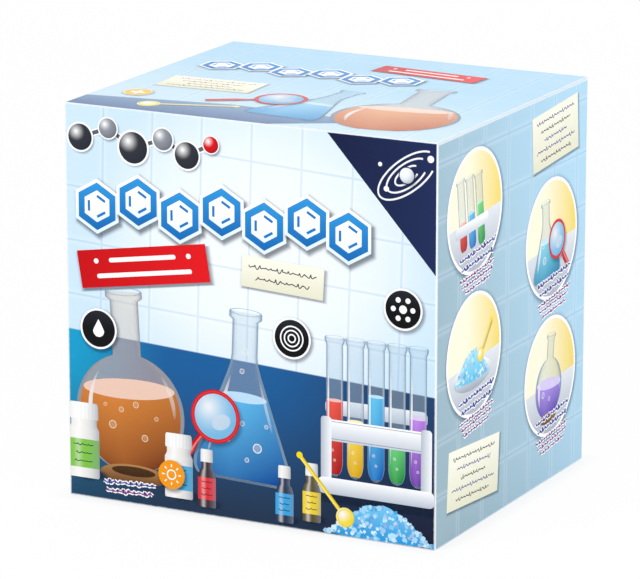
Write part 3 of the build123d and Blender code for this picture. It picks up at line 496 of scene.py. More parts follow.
def spans(sheet, axis, half, ink, alpha=1.0, columns=7):
    # rows of points laid square across a path; s runs from -1 to 1 across it and t from 0 to 1 along it
    axis = np.array(axis, float)
    along = np.gradient(axis, axis=0)
    along /= np.linalg.norm(along, axis=1, keepdims=True)
    sideways = np.stack([along[:, 1], -along[:, 0]], axis=1)
    s = np.linspace(-1, 1, columns)
    half = np.broadcast_to(half, (len(axis),))
    points = (axis[:, None] + s[None, :, None] * half[:, None, None] * sideways[:, None]).reshape(-1, 2)
    t = np.repeat(np.linspace(0, 1, len(axis)), columns)
    across = np.tile(s, len(axis))
    faces = quadsOf(np.arange(len(points)).reshape(len(axis), columns))
    sheet.lay(points, faces, asked(ink, points, across, t), asked(alpha, points, across, t))


def stroke(sheet, path, half, ink, alpha=1.0):
    spans(sheet, path, half, ink, alpha, 3)


def turned(points, tilt):
    c, s = math.cos(math.radians(tilt)), math.sin(math.radians(tilt))
    return np.asarray(points, float) @ np.array([[c, s], [-s, c]])


def aside(x, y, tilt):
    # one step, turned by the tilt
    return turned([(x, y)], tilt)[0]


def upright(rise, half=0):
    # a line of points straight up, or up one side of a vessel
    return np.stack([half + 0 * rise, rise], axis=1)


def oval(centre, across, upward=None, tilt=0.0, count=48):
    angle = np.linspace(0, 2 * np.pi, count, endpoint=False)
    flat = np.stack([across * np.cos(angle), (upward or across) * np.sin(angle)], axis=1)
    return turned(flat, tilt) + centre


def dot(sheet, centre, radius, ink=white, alpha=1.0, count=48):
    fill(sheet, oval(centre, radius, count=count), ink, alpha, 1)


def roundBox(centre, size, corner=0.01, tilt=0.0):
    # four quarter circles, joined by straight sides
    angle = np.linspace(0, np.pi / 2, 5)
    quarter = np.stack([np.cos(angle), np.sin(angle)], axis=1) * corner
    halfX, halfY = size[0] / 2 - corner, size[1] / 2 - corner
    places = ((halfX, halfY), (-halfX, halfY), (-halfX, -halfY), (halfX, -halfY))
    flat = np.concatenate([turned(quarter, 90 * i) + place for i, place in enumerate(places)])
    return turned(flat, tilt) + centre


def blend(first, second, t):
    return rgb(first) * (1 - np.asarray(t)[..., None]) + rgb(second) * np.asarray(t)[..., None]


def fade(first, second, low, high, angle=90.0):
    # a straight change of ink from low to high along a direction
    ray = np.array([math.cos(math.radians(angle)), math.sin(math.radians(angle))])
    return lambda points, *rest: blend(first, second, np.clip((points @ ray - low) / (high - low), 0, 1))


def ball(tint, spot, radius, dark="#101A30"):
    # light round a bright spot, the plain ink, then darker to the rim
    def ink(points, *rest):
        far = np.clip(np.linalg.norm(points - np.array(spot), axis=1) / radius, 0, 2)[:, None]
        light = np.clip(1 - far / 0.75, 0, 1) ** 1.5
        shade = np.clip((far - 0.7) / 1.2, 0, 1) ** 1.2 * 0.75
        return (rgb(tint) * (1 - shade) + rgb(dark) * shade) * (1 - light) + light
    return ink


def roundInk(tint, dark="#5D6B80", light=0.45, darkness=0.7, side=-0.4):
    # a cylinder's shading across: a light streak on one side and darker towards both edges
    def ink(points, s, t):
        shade = (np.abs(s - side) / (1 + abs(side)))[:, None] ** 2.2 * darkness
        streak = np.exp(-((s - side) / 0.2) ** 2)[:, None] * light
        return (rgb(tint) * (1 - shade) + rgb(dark) * shade) * (1 - streak) + streak
    return ink


# Vessels: shares of the height, and the half width there as a share of the width
vesselShapes = {
    "cone": ((0, 0.02, 0.06, 0.12, 0.64, 0.70, 0.75, 0.95, 0.965, 1),
             (0.40, 0.46, 0.49, 0.485, 0.17, 0.14, 0.13, 0.13, 0.165, 0.165)),
    "tube": ((0, 0.01, 0.03, 0.06, 0.1, 0.96, 0.97, 1), (0.06, 0.24, 0.36, 0.45, 0.5, 0.5, 0.6, 0.6)),
    "beaker": ((0, 0.03, 0.07, 0.93, 1), (0.40, 0.46, 0.48, 0.5, 0.55)),
    "bottle": ((0, 0.02, 0.60, 0.72, 0.76, 1), (0.44, 0.5, 0.5, 0.4, 0.3, 0.3)),
    "jar": ((0, 0.02, 0.72, 0.78, 0.80, 1), (0.46, 0.5, 0.5, 0.44, 0.42, 0.42)),
    "dish": ((0, 0.12, 1), (0.47, 0.5, 0.5)),
}
liquids = {"red": ("#F25A4A", "#A50D14"), "yellow": ("#FFE45C", "#D9A100"),
           "blue": ("#66CBF3", "#0E62B8"), "green": ("#7BE08A", "#118A3C"),
           "violet": ("#C48BEA", "#5B2A9C"), "lilac": ("#B79BF2", "#4C2FA8"),
           "amber": ("#E08A3C", "#7A3A17"), "paleAmber": ("#F0B48A", "#C0643C"),
           "deepBlue": ("#62C1F2", "#0B4E9C"), "washedBlue": ("#A6DDF6", "#4C9ED6"),
           "teal": ("#8FE0F2", "#1488B4"), "paleBlue": ("#B6E4FA", "#4AA8DC"),
           "gold": ("#FFE45C", "#E59A10")}
cork = ("#5E3A1E", "#B0804E")
crystals = ("#2F9AD8", "#74C7F2", "#B6E4FA")


def profileOf(kind, width, height):
    # half width at each height of a vessel, from its foot to its rim; a ball is a circle with a neck on it
    t = np.linspace(0.0, 1.0, 61)
    y = t * height
    if kind != "ball":
        return y, np.interp(t, *vesselShapes[kind]) * width
    bulb = np.sqrt(np.maximum((width / 2) ** 2 - (y - width / 2) ** 2, (0.02 * width) ** 2)) * (y < width)
    neck = np.where(t > 0.955, 0.17, 0.13) * width
    return y, np.maximum(bulb, neck * (y > width / 2))


def vessel(sheet, foot, kind, width, height, liquid=None, level=0.5, tilt=0.0, glass="#BFD8E8", body=0.22):
    # clear glass: a pale wall that thickens at its edges, liquid with a lighter surface, streaks of light
    rise, half = profileOf(kind, width, height)
    axis = turned(upright(rise), tilt) + foot
    spans(sheet, axis, half, lambda points, s, t: blend(glass, "#5E7F9C", np.abs(s) ** 5 * 0.8),
          lambda points, s, t: body + (0.85 - body) * np.abs(s) ** 8, 11)
    if liquid:
        light, deep = liquids[liquid]
        wet = (rise <= level * height) & (rise >= 0.015 * height)
        top = np.nonzero(wet)[0][-1]
        spans(sheet, axis[wet], half[wet] * 0.93,
              lambda points, s, t: blend(deep, light, t * 0.75 + 0.25 * (1 - np.abs(s + 0.3))), 0.93, 9)
        surface = oval(axis[top], half[top] * 0.93, half[top] * 0.93 * 0.2, tilt, 32)
        fill(sheet, surface, blend(light, white, 0.45), 0.95)
    end = {"ball": 0.56, "cone": 0.62}.get(kind, 0.9)
    for side, strength, wide, start in ((-0.74, 0.75, 0.1, 0.14), (0.82, 0.35, 0.05, 0.3)):
        shown = (rise > start * height) & (rise < end * height)
        taper = np.sin(np.pi * np.linspace(0.03, 0.97, int(shown.sum()))) ** 0.7
        stroke(sheet, turned(upright(rise, half * side)[shown], tilt) + foot,
               np.clip(half[shown] * wide, 0.15, 1.4) * taper, white,
               lambda points, s, t: strength * np.sin(np.pi * np.clip(t * 0.96 + 0.02, 0, 1)) ** 0.6)
    rim = oval(axis[-1], half[-1], half[-1] * 0.2, tilt, 32)
    between(sheet, axis[-1] + (rim - axis[-1]) * 0.9, rim, "#8FAEC6", 0.9)


def bubbles(sheet, places, tint=white):
    for x, y, radius in places:
        dot(sheet, (x, y), radius, tint, 0.22, 20)
        outline = oval((x, y), radius, count=20)
        between(sheet, (outline - (x, y)) * 0.8 + (x, y), outline, tint, 0.8)


def scribble(sheet, centre, length, tilt, tint, seed, half=0.33, tall=1.1):
    # a run of uneven loops: three sines of different length added up
    x = np.linspace(-length / 2, length / 2, int(length * 4))
    swing = np.sin(x * 1.7 + seed) * 0.6 + np.sin(x * 2.6 + 2 * seed) * 0.4
    y = tall * swing * (0.65 + 0.35 * np.sin(x * 0.37 + seed))
    path = np.stack([x + 0.42 * np.sin(x * 1.7 + seed + 1.3), y], axis=1)
    stroke(sheet, turned(path, tilt) + centre, half, tint)


def captions(sheet, rows, tilt):
    # scribbled lines on a white rim; a row is its middle, length, tint and height
    for rim in (True, False):
        for i, (middle, length, tint, tall) in enumerate(rows):
            scribble(sheet, middle, length, tilt, white if rim else tint, middle[1] + 2 * i,
                     1.2 if rim else 0.24 + 0.1 * tall, tall)


def note(sheet, centre, size, tilt, lines, tints, seed):
    # a slip of cream paper with scribbled lines
    outline = roundBox(centre, size, 0.4, tilt)
    softShadow(sheet, outline, (1.0, -1.2), 2.4, 0.35)
    fill(sheet, outline, fade("#E6E4CB", "#F8F7E8", centre[1] - size[1] / 2, centre[1] + size[1] / 2))
    for i in range(lines):
        middle = np.array(centre) + aside(0, size[1] * (0.5 - (i + 0.9) / (lines + 0.8)), tilt)
        length = size[0] * (0.82 - 0.17 * ((i * 7 + int(seed * 3)) % 3))
        scribble(sheet, middle, length, tilt, tints[i % len(tints)], seed + i, 0.3,
                 size[1] / (lines + 1) * 0.24)


def band(sheet, centre, size, tilt):
    # a red banner with two white bars and two white dots
    outline = roundBox(centre, size, 0.3, tilt)
    softShadow(sheet, outline, (1.2, -1.5), 3.0, 0.45)
    fill(sheet, outline, fade("#C4060F", "#E2141C", centre[0] - size[0] / 2, centre[0] + size[0] / 2, 0))
    for shift, length in ((0.2, 0.52), (-0.2, 0.74)):
        line = roundBox(aside(0, size[1] * shift, tilt) + centre, (size[0] * length, size[1] * 0.12),
                        size[1] * 0.055, tilt)
        fill(sheet, line, white, 0.95, 1)
    for side in (-1, 1):
        middle = aside(side * size[0] * 0.36, size[1] * 0.2, tilt) + centre
        dot(sheet, middle, size[1] * 0.07, white, 0.95, 20)


def hexagonRing(sheet, centre, radius, tint="#1277C4", thick=0.33):
    # a heavy ring with a white border, a soft shadow under it and an inner line on three sides
    x, y = centre
    border, outer, inner, lines = (oval((x, y), radius * share, tilt=30.0, count=6)
                                   for share in (1.16, 1.0, 1 - thick, 0.44))
    softShadow(sheet, border, (1.4, -1.7), 3.0, 0.5)
    fill(sheet, border, fade("#DCEFFA", white, y - radius, y + radius * 0.3), 1.0, 2)
    between(sheet, inner, outer, fade("#0E66B2", "#2E96DC", y - radius, y + radius))
    for i in (0, 2, 4):
        stroke(sheet, lines[[i, i + 1]], radius * 0.055, tint)


def bar(sheet, start, end, half, tint, border):
    path = np.linspace(start, end, 3)
    stroke(sheet, path, half + border, white)
    stroke(sheet, path, half, tint)


def ringChain(sheet, places, radius, tint, half):
    # rings joined by short bars
    for start, end in zip(places, places[1:]):
        bar(sheet, start, end, half, "#1277C4", 0.9)
    for place in places:
        hexagonRing(sheet, place, radius, tint)


def atom(sheet, centre, radius, tint, border=white):
    softShadow(sheet, oval(centre, radius), (0.9, -1.1), 1.8, 0.45)
    dot(sheet, centre, radius * 1.14, border)
    spot = (centre[0] - radius * 0.35, centre[1] + radius * 0.4)
    fill(sheet, oval(centre, radius), ball(tint, spot, radius), 1.0, 8)


def drop(centre, size):
    # a circle whose top is drawn out to a point
    angle = np.linspace(0, 2 * np.pi, 40, endpoint=False)
    y = np.cos(angle)
    x = np.sin(angle) * np.where(y > 0, (1 - y * 0.86) ** 0.8, 1.0)
    return np.stack([x * 0.72, np.where(y > 0, y * 1.35, y * 0.72)], axis=1) * size + centre


def badge(sheet, centre, radius, icon, ground=None, border=white):
    # a round sign, black unless it has a ground of its own, with a white icon
    softShadow(sheet, oval(centre, radius), (0.9, -1.1), 2.2, 0.4)
    dot(sheet, centre, radius, border)
    ground = ground or fade("#08090C", "#23262F", centre[1], centre[1] + radius)
    fill(sheet, oval(centre, radius * 0.9), ground, 1.0, 4)
    middle = np.array(centre, float)
    if icon == "drop":
        fill(sheet, drop(middle - (0, radius * 0.1), radius * 0.42), white, 1.0, 1)
    elif icon == "rings":
        for share in (0.22, 0.42, 0.62):
            between(sheet, oval(middle, radius * (share - 0.07)), oval(middle, radius * share), white)
    elif icon == "plus":
        for tilt in (0, 90):
            fill(sheet, roundBox(middle, (radius * 1.05, radius * 0.28), radius * 0.1, tilt), white, 1.0, 1)
    elif icon == "dots":
        for angle in range(0, 360, 60):
            dot(sheet, middle + aside(radius * 0.5, 0, angle), radius * 0.13, count=20)
        dot(sheet, middle, radius * 0.2, count=20)
    elif icon == "lamp":
        for angle in range(0, 360, 45):
            ends = turned([(radius * 0.52, 0), (radius * 0.72, 0)], angle) + middle
            stroke(sheet, ends, radius * 0.045, white)
        between(sheet, oval(middle, radius * 0.27), oval(middle, radius * 0.36), white)
    elif icon == "flask":
        rise, half = profileOf("cone", radius * 0.95, radius * 1.15)
        spans(sheet, upright(rise) + middle - (0, radius * 0.55), half, white)


def magnifier(sheet, centre, radius, angle, handle):
    # glass in a red ring, on a red handle that runs off at an angle
    middle = np.array(centre, float)
    ray = aside(1, 0, angle)
    path = np.linspace(middle + ray * radius, middle + ray * (radius + handle), 12)
    wide = np.interp(np.linspace(0, 1, 12), (0, 0.25, 0.3, 1), (1.6, 1.6, 3.1, 2.6)) * radius / 16
    softShadow(sheet, oval(middle, radius), (1.4, -1.8), 3.0, 0.35)
    stroke(sheet, path + (1.1, -1.4), 2.6, "#16263F", 0.25)
    spans(sheet, path, wide, roundInk("#D90B14", "#7C040B", 0.35))
    spot = middle + (-radius * 0.3, radius * 0.35)
    fill(sheet, oval(middle, radius), ball("#7FC4EC", spot, radius * 1.5, "#2A78B4"), 0.88, 6)
    gleam = oval(middle + (radius * 0.25, -radius * 0.2), radius * 0.42, radius * 0.3, 25)
    fill(sheet, gleam, "#EAF6FD", 0.55, 3)
    between(sheet, oval(middle, radius * 0.9, count=64), oval(middle, radius * 1.06, count=64),
            lambda points, t: blend("#B0060E", "#F0323A", 1 - np.abs(t * 2 - 1)), 1.0, 4)


def heap(sheet, centre, width, height, tints, count, seed, size=2.2):
    # a mound of many-sided crystals, small and pale at its edge, with loose ones round it
    chance = np.random.default_rng(seed)
    x = np.linspace(-1, 1, 25)
    top = (1 - np.abs(x) ** 1.8) * height + chance.uniform(-0.03, 0.05, 25) * height
    over = np.stack([x * width / 2, top], axis=1)
    under = np.stack([x[::-1] * width / 2, -0.12 * height * (1 - x ** 2)], axis=1)[1:-1]
    ink = fade(tints[0], tints[1], centre[1], centre[1] + height)
    fill(sheet, np.concatenate([over, under]) + centre, ink, 1.0, 4)
    for i in range(count):
        u = chance.uniform(-1.08, 1.08)
        v = chance.uniform(-0.08, 1.0) if i % 5 else chance.uniform(0.86, 1.05)
        v *= max(1 - abs(u) ** 1.8, 0.03) * height
        place = np.array(centre) + (u * width / 2, max(v, -1.0))
        radius, sides = size * chance.uniform(0.4, 1.0), int(chance.integers(4, 7))
        grain = oval(place, radius, tilt=chance.uniform(0, 90), count=sides)
        grain = place + (grain - place) * chance.uniform(0.6, 1.1, (len(grain), 1))
        tone = chance.uniform(0, 1)
        fill(sheet, grain, blend(tints[int(chance.integers(0, len(tints)))], white, tone * 0.5), 1.0, 1)


def spoonShape(sheet, bowl, radius, end, tint="#F5D90E", dark="#B98F00"):
    bowl, end = np.array(bowl, float), np.array(end, float)
    path = np.linspace(bowl, end, 9)
    stroke(sheet, path + (0.8, -1.0), radius * 0.22, "#16263F", 0.3)
    spans(sheet, path, radius * 0.2, roundInk(tint, dark, 0.4, 0.6))
    dot(sheet, end, radius * 0.34, tint, count=24)
    spot = bowl + (-radius * 0.3, radius * 0.3)
    fill(sheet, oval(bowl, radius), ball(tint, spot, radius * 1.5, dark), 1.0, 5)
    between(sheet, oval(bowl, radius * 0.74), oval(bowl, radius * 0.84), "#FFF27A", 0.7)


def opaque(sheet, foot, kind, width, height, tint, cap, label):
    # a plastic bottle or jar: rounded body, label with scribbled lines, and a ribbed cap
    capShare, dark = 0.22, "#7C8795"
    rise, half = profileOf(kind, width, height * (1 - capShare * 0.55))
    axis = upright(rise) + foot
    ground = np.array(foot) + (width * 0.12, height * 0.06)
    softShadow(sheet, oval(ground, width * 0.6, height * 0.07), (0, 0), 2.5, 0.4)
    spans(sheet, axis, half, roundInk(tint, dark, 0.5), 1.0, 13)
    rows = (rise > 0.12 * height) & (rise < 0.52 * height)
    spans(sheet, axis[rows], half[rows] * 1.005, roundInk(label, dark, 0.3, 0.55), 1.0, 13)
    for i in range(3):
        middle = np.array((-width * 0.03, height * (0.44 - 0.11 * i))) + foot
        scribble(sheet, middle, width * (0.62 - 0.1 * (i % 2)), 0.0, "#1B2430", i + width,
                 max(width * 0.012, 0.22), height * 0.014)
    high = np.linspace(height * (1 - capShare), height, 8)
    capHalf = width * (0.47 if kind == "jar" else 0.34) * np.interp(np.linspace(0, 1, 8), (0, 0.1, 0.9, 1),
                                                                   (1, 1.02, 1.0, 0.92))
    shade = roundInk(cap, dark, 0.5)
    ribs = lambda points, s, t: shade(points, s, t) * (1 - 0.07 * (np.sin(np.arcsin(s) * 22) > 0)[:, None])
    spans(sheet, upright(high) + foot, capHalf, ribs, 1.0, 41)


def jar(sheet, foot, width, height, label):
    opaque(sheet, foot, "jar", width, height, "#F1EFEA", "#FBFAF7", label)


# Dropper bottles: the body with the dye in it, and the label
dyes = {"red": ("#3A1518", "#E3222A"), "yellow": ("#5A4A10", "#F3D413"), "blue": ("#10284A", "#2FA5E2")}


def dropper(sheet, foot, height, dye):
    opaque(sheet, foot, "bottle", 12, height, dyes[dye][0], "#F2F1EC", dyes[dye][1])


def inkFinish(name, onCarton):
    # the printed ink: its own colours under the varnish, on the carton worn pale along the folds, with a
    # painted highlight there
    finish = Finish(name)
    ink = finish.add("ShaderNodeAttribute", {"attribute_name": "ink"}, None, "Color")
    strength = Value(finish, ink.socket.node.outputs["Alpha"])
    rough = finish.noise(160.0, 3.0) * 0.08 + 0.4
    if onCarton:
        sides = (halfWidth - abs(finish.x), halfDepth - abs(finish.y), finish.z, height - finish.z)
        edges = [edge + (edge < 0.4) * 500 for edge in sides]  # the face that it lies on isn't an edge
        wearAndHighlight = foldWearAndHighlight(finish, edges[0].lower(edges[1]).lower(edges[2]).lower(edges[3]))
        # pale along the folds: worn ink, and partly a painted highlight on the fold edges
        ink, rough = finish.mix(wearAndHighlight * carton["wearAndHighlightShare"], ink, "#F6F8FA"), rough + wearAndHighlight * 0.2
    waviness = finish.bump(finish.noise(38.0, 2.0), 0.07)
    return finish.surface(ink, rough, waviness, alpha=strength, gloss=carton["gloss"])


inkOnBoard = inkFinish("inkOnBoard", True)
inkOnPaper = inkFinish("inkOnPaper", False)


def cartonSheet(name, body, right, up, low, high):
    # the face that looks along right x up, with u and v measured from the middle of the carton's underside
    place = np.cross(right, up) * (halfWidth, halfDepth, height)
    return PrintSheet(name, body, place, right, up, low, high)


# Front: a molecule and a chain of rings on the wall, a navy corner, and glassware along the bench
front = cartonSheet("front_print", "case", (1, 0, 0), (0, 0, 1), (-halfWidth, 0), (halfWidth, height))
corner = np.array([(halfWidth, height), (52, height), (halfWidth, 164.0)])
middle = corner.mean(axis=0)
core = corner[[0, 0, 0]] * 0.001 + middle * 0.999
between(front, core, corner, fade("#121C40", "#1C2A56", 60, 122, 0), 1.0, 2, middle)
for radius in (9.0, 15.5, 22.0):
    stroke(front, oval((103, 221), radius, radius * 0.42, 38, 72)[4:64], 0.55, white, 0.9)
atom(front, (103, 221), 4.6, "#E9EDF2", "#1A2650")
for place, radius in (((118, 232), 2.1), ((90, 212), 1.7), ((86, 226), 1.3)):
    dot(front, place, radius, count=20)

atoms = [((-112, 222), 8.0, "#2E3138"), ((-93, 229), 6.0, "#8B9099"), ((-76, 219), 9.5, "#2E3138"),
         ((-56, 226), 6.5, "#8B9099"), ((-40, 218), 8.0, "#2E3138"), ((-24, 226), 5.0, "#D90B14")]
for first, second in zip(atoms, atoms[1:]):
    bar(front, first[0], second[0], 1.2, "#595E68", 0.8)
for place, radius, tint in atoms:
    atom(front, place, radius, tint)

ringChain(front, [(-101, 181), (-73, 186.5), (-45, 181), (-17, 186.5), (11, 181), (39, 186.5), (66, 181)],
          14.5, "#1277C4", 2.6)
band(front, (-70, 148), (88, 23), 9.0)
note(front, (23, 152), (54, 19), -3.0, 2, ("#20242C",), 2.0)

# Round-bottomed flask of amber liquid on a cork ring
vessel(front, (-78, 19), "ball", 74, 112, "amber", 0.47, 3.0, "#F3D9BE", 0.3)
fill(front, oval((-78, 18), 23, 6.5), fade(*cork, 12, 24))
fill(front, oval((-78, 20.2), 15, 3.0), "#3B2210", 0.7, 2)
bubbles(front, [(-92, 48, 2.6), (-86, 58, 1.7), (-70, 42, 2.2), (-62, 55, 1.4), (-76, 62, 2.0),
                (-97, 60, 1.2)], "#FFE3BD")

# Tall flask of blue liquid in the middle, with a lens before it
vessel(front, (-5, 24), "cone", 66, 104, "deepBlue", 0.5, -2.0)
bubbles(front, [(-14, 50, 2.4), (-4, 60, 1.6), (6, 46, 3.0), (-1, 38, 1.5), (12, 60, 1.3), (-9, 66, 1.8),
                (-4, 92, 1.6), (-2, 104, 2.1)])
magnifier(front, (-22, 62), 15.5, -128, 34)

# Rack of tubes on the right: back rail, tubes, front rail, two posts and a foot
softShadow(front, roundBox((84, 30), (72, 14), 3.0), (1.5, -3.0), 5.0, 0.5)
fill(front, roundBox((84, 78), (66, 9), 3.0), fade("#B8C0CC", "#EEF1F5", 73, 83), 1.0, 2)
for x, liquid, level in ((57, "red", 0.55), (70.5, "yellow", 0.42), (84, "blue", 0.62), (97.5, "green", 0.35),
                         (111, "violet", 0.5)):
    vessel(front, (x, 36), "tube", 11.0, 84, liquid, level)
    bubbles(front, [(x - 1.5, 52, 0.9), (x + 1.6, 60, 0.7), (x, 46, 0.8)])
fill(front, roundBox((84, 64), (72, 13), 3.0), fade("#C6CDD8", white, 58, 71))
between(front, roundBox((84, 64), (69, 10), 2.0), roundBox((84, 64), (70, 11), 2.4), "#98A4B4", 0.55)
for x in (51.5, 116.5):
    fill(front, roundBox((x, 50), (7, 44), 2.0), fade("#AEB7C4", "#F7F9FB", x - 4, x + 4, 0), 1.0, 2)
fill(front, roundBox((84, 30), (76, 10), 3.5), fade("#B9C2CF", white, 25, 36))

# Jars, droppers, crystals and a spoon before them, and the signs
jar(front, (-112, 12), 21, 47, "#7DC43C")
jar(front, (-47, 8), 19, 40, "#37B3E6")
dropper(front, (-28, 5), 36, "red")
dropper(front, (42, 6), 36, "yellow")
dropper(front, (24, 3), 35, "blue")
heap(front, (86, 2), 66, 20, crystals, 230, 5)
spoonShape(front, (64, 12), 6.0, (34, 46))
for centre, icon in (((-101, 106), "drop"), ((29, 116), "rings"), ((101, 142), "dots")):
    badge(front, centre, 12.5, icon)
badge(front, (-52, 22), 9.0, "lamp", "#F59A17", "#F59A17")
captions(front, [((-81, 12.5), 36, "#3A46A8", 1.5), ((-81, 7.0), 32, "#8A2F96", 1.5)], 2.0)
front.build(inkOnBoard, "printed_board")

# Sides: four round windows and two notes, staggered; a caption row is its drop, length, tint and height
window = {"radius": 37.5, "inner": 0.945, "ground": "#F3D867", "table": "#AAB3C0", "tilt": 6.0,
          "captions": ((24.0, 48, "#3A46A8", 1.8), (30.0, 42, "#3A46A8", 1.8), (36.5, 46, "#8A2F96", 1.1),
                       (40.5, 41, "#8A2F96", 1.1), (44.5, 34, "#8A2F96", 1.1))}


def windowPicture(sheet, centre, kind):
    # a round window with a white border, a warm ground and a pale grey table in it
    x, y = centre
    inner = window["radius"] * window["inner"]
    softShadow(sheet, oval(centre, window["radius"]), (1.0, -1.4), 3.4, 0.4, "#2B4A6A")
    dot(sheet, centre, window["radius"], count=72)
    warm = fade(window["ground"], "#FBF6DC", x + inner, x - inner * 0.3, 0)
    fill(sheet, oval(centre, inner, count=72), warm, 1.0, 5)
    angle = np.radians(np.linspace(191, 358, 49))
    table = np.stack([np.cos(angle), np.sin(angle)], axis=1) * inner + centre
    fill(sheet, table, fade(window["table"], "#E6EAEF", y - inner, y), 1.0, 4, (x, y - inner * 0.45))
    if kind == "tubes":
        for i, liquid in enumerate(("red", "blue", "green")):
            vessel(sheet, (x - 14 + i * 12, y - 22), "tube", 9.5, 44, liquid, 0.4 + 0.1 * i, 8.0)
        fill(sheet, roundBox((x - 4, y - 8), (44, 7), 2.0, 4), fade("#C6CDD8", white, y - 12, y - 4), 1.0, 2)
    elif kind == "flask":
        vessel(sheet, (x - 6, y - 24), "cone", 40, 48, "teal", 0.5, 4.0)
        bubbles(sheet, [(x - 10, y - 12, 2.4), (x - 2, y - 6, 1.6), (x - 12, y - 3, 1.2)])
        magnifier(sheet, (x + 8, y - 2), 11.5, -50, 13)
    elif kind == "crystals":
        fill(sheet, oval((x - 2, y - 12), 26, 9), fade("#9AA6B6", white, y - 20, y - 4))
        heap(sheet, (x - 2, y - 14), 44, 17, ("#5CC3EA", "#A9E4F6", "#2C9BD0"), 110, 9, 2.0)
        spoonShape(sheet, (x + 9, y - 2), 4.4, (x + 24, y + 16))
    elif kind == "ball":
        vessel(sheet, (x - 4, y - 26), "ball", 38, 52, "lilac", 0.42, -6.0)
        bubbles(sheet, [(x - 10, y - 10, 2.0), (x - 1, y - 14, 1.5), (x + 4, y - 6, 1.3)])
        fill(sheet, oval((x - 3, y - 26), 12, 3.4), fade(*cork, y - 29, y - 23), 1.0, 2)
    rows = [((x + 4, y - fall), length, tint, tall) for fall, length, tint, tall in window["captions"]]
    captions(sheet, rows, window["tilt"])


def sidePrint(name, right, side, kinds, seed):
    # side: 1 with the first window at the left, -1 for the same layout mirrored
    sheet = cartonSheet(name, "case", right, (0, 0, 1), (-halfDepth, 0), (halfDepth, height))
    for (x, y), kind in zip(((-55, 192), (54, 152), (-55, 106), (54, 66)), kinds):
        windowPicture(sheet, (side * x, y), kind)
    note(sheet, (side * 58, 216), (66, 34), side * 4.0, 5, ("#2C3A8E", "#20242C", "#2C3A8E"), seed)
    note(sheet, (side * -54, 34), (70, 36), side * -4.0, 5, ("#20242C", "#2C3A8E"), seed + 2.0)
    sheet.build(inkOnBoard, "printed_board")


sidePrint("right_print", (0, 1, 0), 1, ("tubes", "flask", "crystals", "ball"), 3.0)

# Top: the same things again, washed out
top = cartonSheet("top_print", "lid", (1, 0, 0), (0, 1, 0), (-halfWidth, -halfDepth), (halfWidth, halfDepth))
strip = np.array([(-halfWidth, -halfDepth), (12, -halfDepth), (70, -72), (-30, -66), (-halfWidth, -80.0)])
fill(top, strip, fade("#5F7AA6", "#93B2D2", -halfDepth, -60), 0.9, 2)
ringChain(top, [(-92, 34), (-68, 40), (-44, 34), (-20, 40), (4, 34), (28, 40)], 12.5, "#3F8FD0", 2.2)
band(top, (34, 66), (72, 18), -5.0)
note(top, (-70, -20), (62, 30), 3.0, 4, ("#A23A48", "#30343C"), 4.0)
vessel(top, (76, -92), "ball", 76, 118, "paleAmber", 0.5, 8.0, "#F6E2D2", 0.35)
vessel(top, (8, -84), "cone", 52, 84, "washedBlue", 0.5, -6.0)
magnifier(top, (-12, -40), 15, -150, 30)
spoonShape(top, (-76, -86), 7.0, (-26, -70), "#F2E38A", "#C2A84A")
badge(top, (-98, -60), 9.0, "plus", "#F2C355", "#F6E7B4")
top.build(inkOnBoard, "printed_board")

sidePrint("left_print", (0, -1, 0), -1, ("crystals", "ball", "tubes", "flask"), 4.0)

# Back: what the set holds, pictured in two rows over a panel of notes
back = cartonSheet("back_print", "case", (-1, 0, 0), (0, 0, 1), (-halfWidth, 0), (halfWidth, height))
band(back, (-32, 216), (150, 26), 4.0)
hexagonRing(back, (74, 218), 14.0)
hexagonRing(back, (101, 205), 11.0)
fill(back, roundBox((0, 132), (222, 116), 8.0), fade("#DDEEF9", white, 74, 190), 0.9, 4)
for y in (132, 82):
    shelf = roundBox((0, y - 2.5), (206, 5), 2.0)
    softShadow(back, shelf, (0.8, -1.6), 2.6, 0.35)
    fill(back, shelf, fade("#9FB4CB", "#E3EAF2", 0, 240), 1.0, 2)
for i, tint in enumerate(("#7DC43C", "#37B3E6", "#F08A1D")):
    jar(back, (-90 + 23 * i, 132), 19, 42, tint)
for i, dye in enumerate(dyes):
    dropper(back, (-14 + 15 * i, 132), 36, dye)
vessel(back, (48, 132), "beaker", 32, 42, "teal", 0.45)
vessel(back, (86, 132), "cone", 34, 46, "gold", 0.4)
bubbles(back, [(83, 143, 1.6), (89, 146, 1.1), (45, 144, 1.6), (51, 140, 1.1)])
magnifier(back, (-72, 104), 15.0, -38, 20)
vessel(back, (-24, 82), "dish", 40, 10, "paleBlue", 0.6)
heap(back, (-24, 84), 30, 8, crystals, 60, 11, 1.5)
spoonShape(back, (18, 90), 6.0, (46, 116))
for i, (liquid, level) in enumerate((("red", 0.5), ("blue", 0.35), ("green", 0.6))):
    vessel(back, (66 + i * 14, 82), "tube", 10.0, 42, liquid, level)
for i in range(2):
    note(back, (-58 + i * 116, 36), (98, 50), -1.5 + 3 * i, 8, ("#20242C", "#2C3A8E", "#20242C"), 7.0 + i)
badge(back, (0, 14), 9.0, "flask", "#F59A17", "#F59A17")
back.build(inkOnBoard, "printed_board")


# Moulded plastics, clear plastics, wood and the rest of the set
def plastic(name, tint, dark, rough, depth=0.02, **more):
    # faint mottling in the colour, fine grain in the gloss, and a few dull scuffs along the height
    finish = Finish(name)
    mottle = finish.noise(70.0, 4.0)
    scuff = finish.noise(420.0, 5.0, (1, 1, 0.2)).ease(0.60, 0.74)
    base = finish.mix(mottle.ease(0.2, 0.85) * 0.8 + scuff * 0.15, dark, tint)
    grain = finish.noise(1500.0, 2.0) * 0.4 + mottle * 0.6
    return finish.surface(base, rough + mottle * 0.08 + scuff * 0.14, finish.bump(grain, depth), **more)


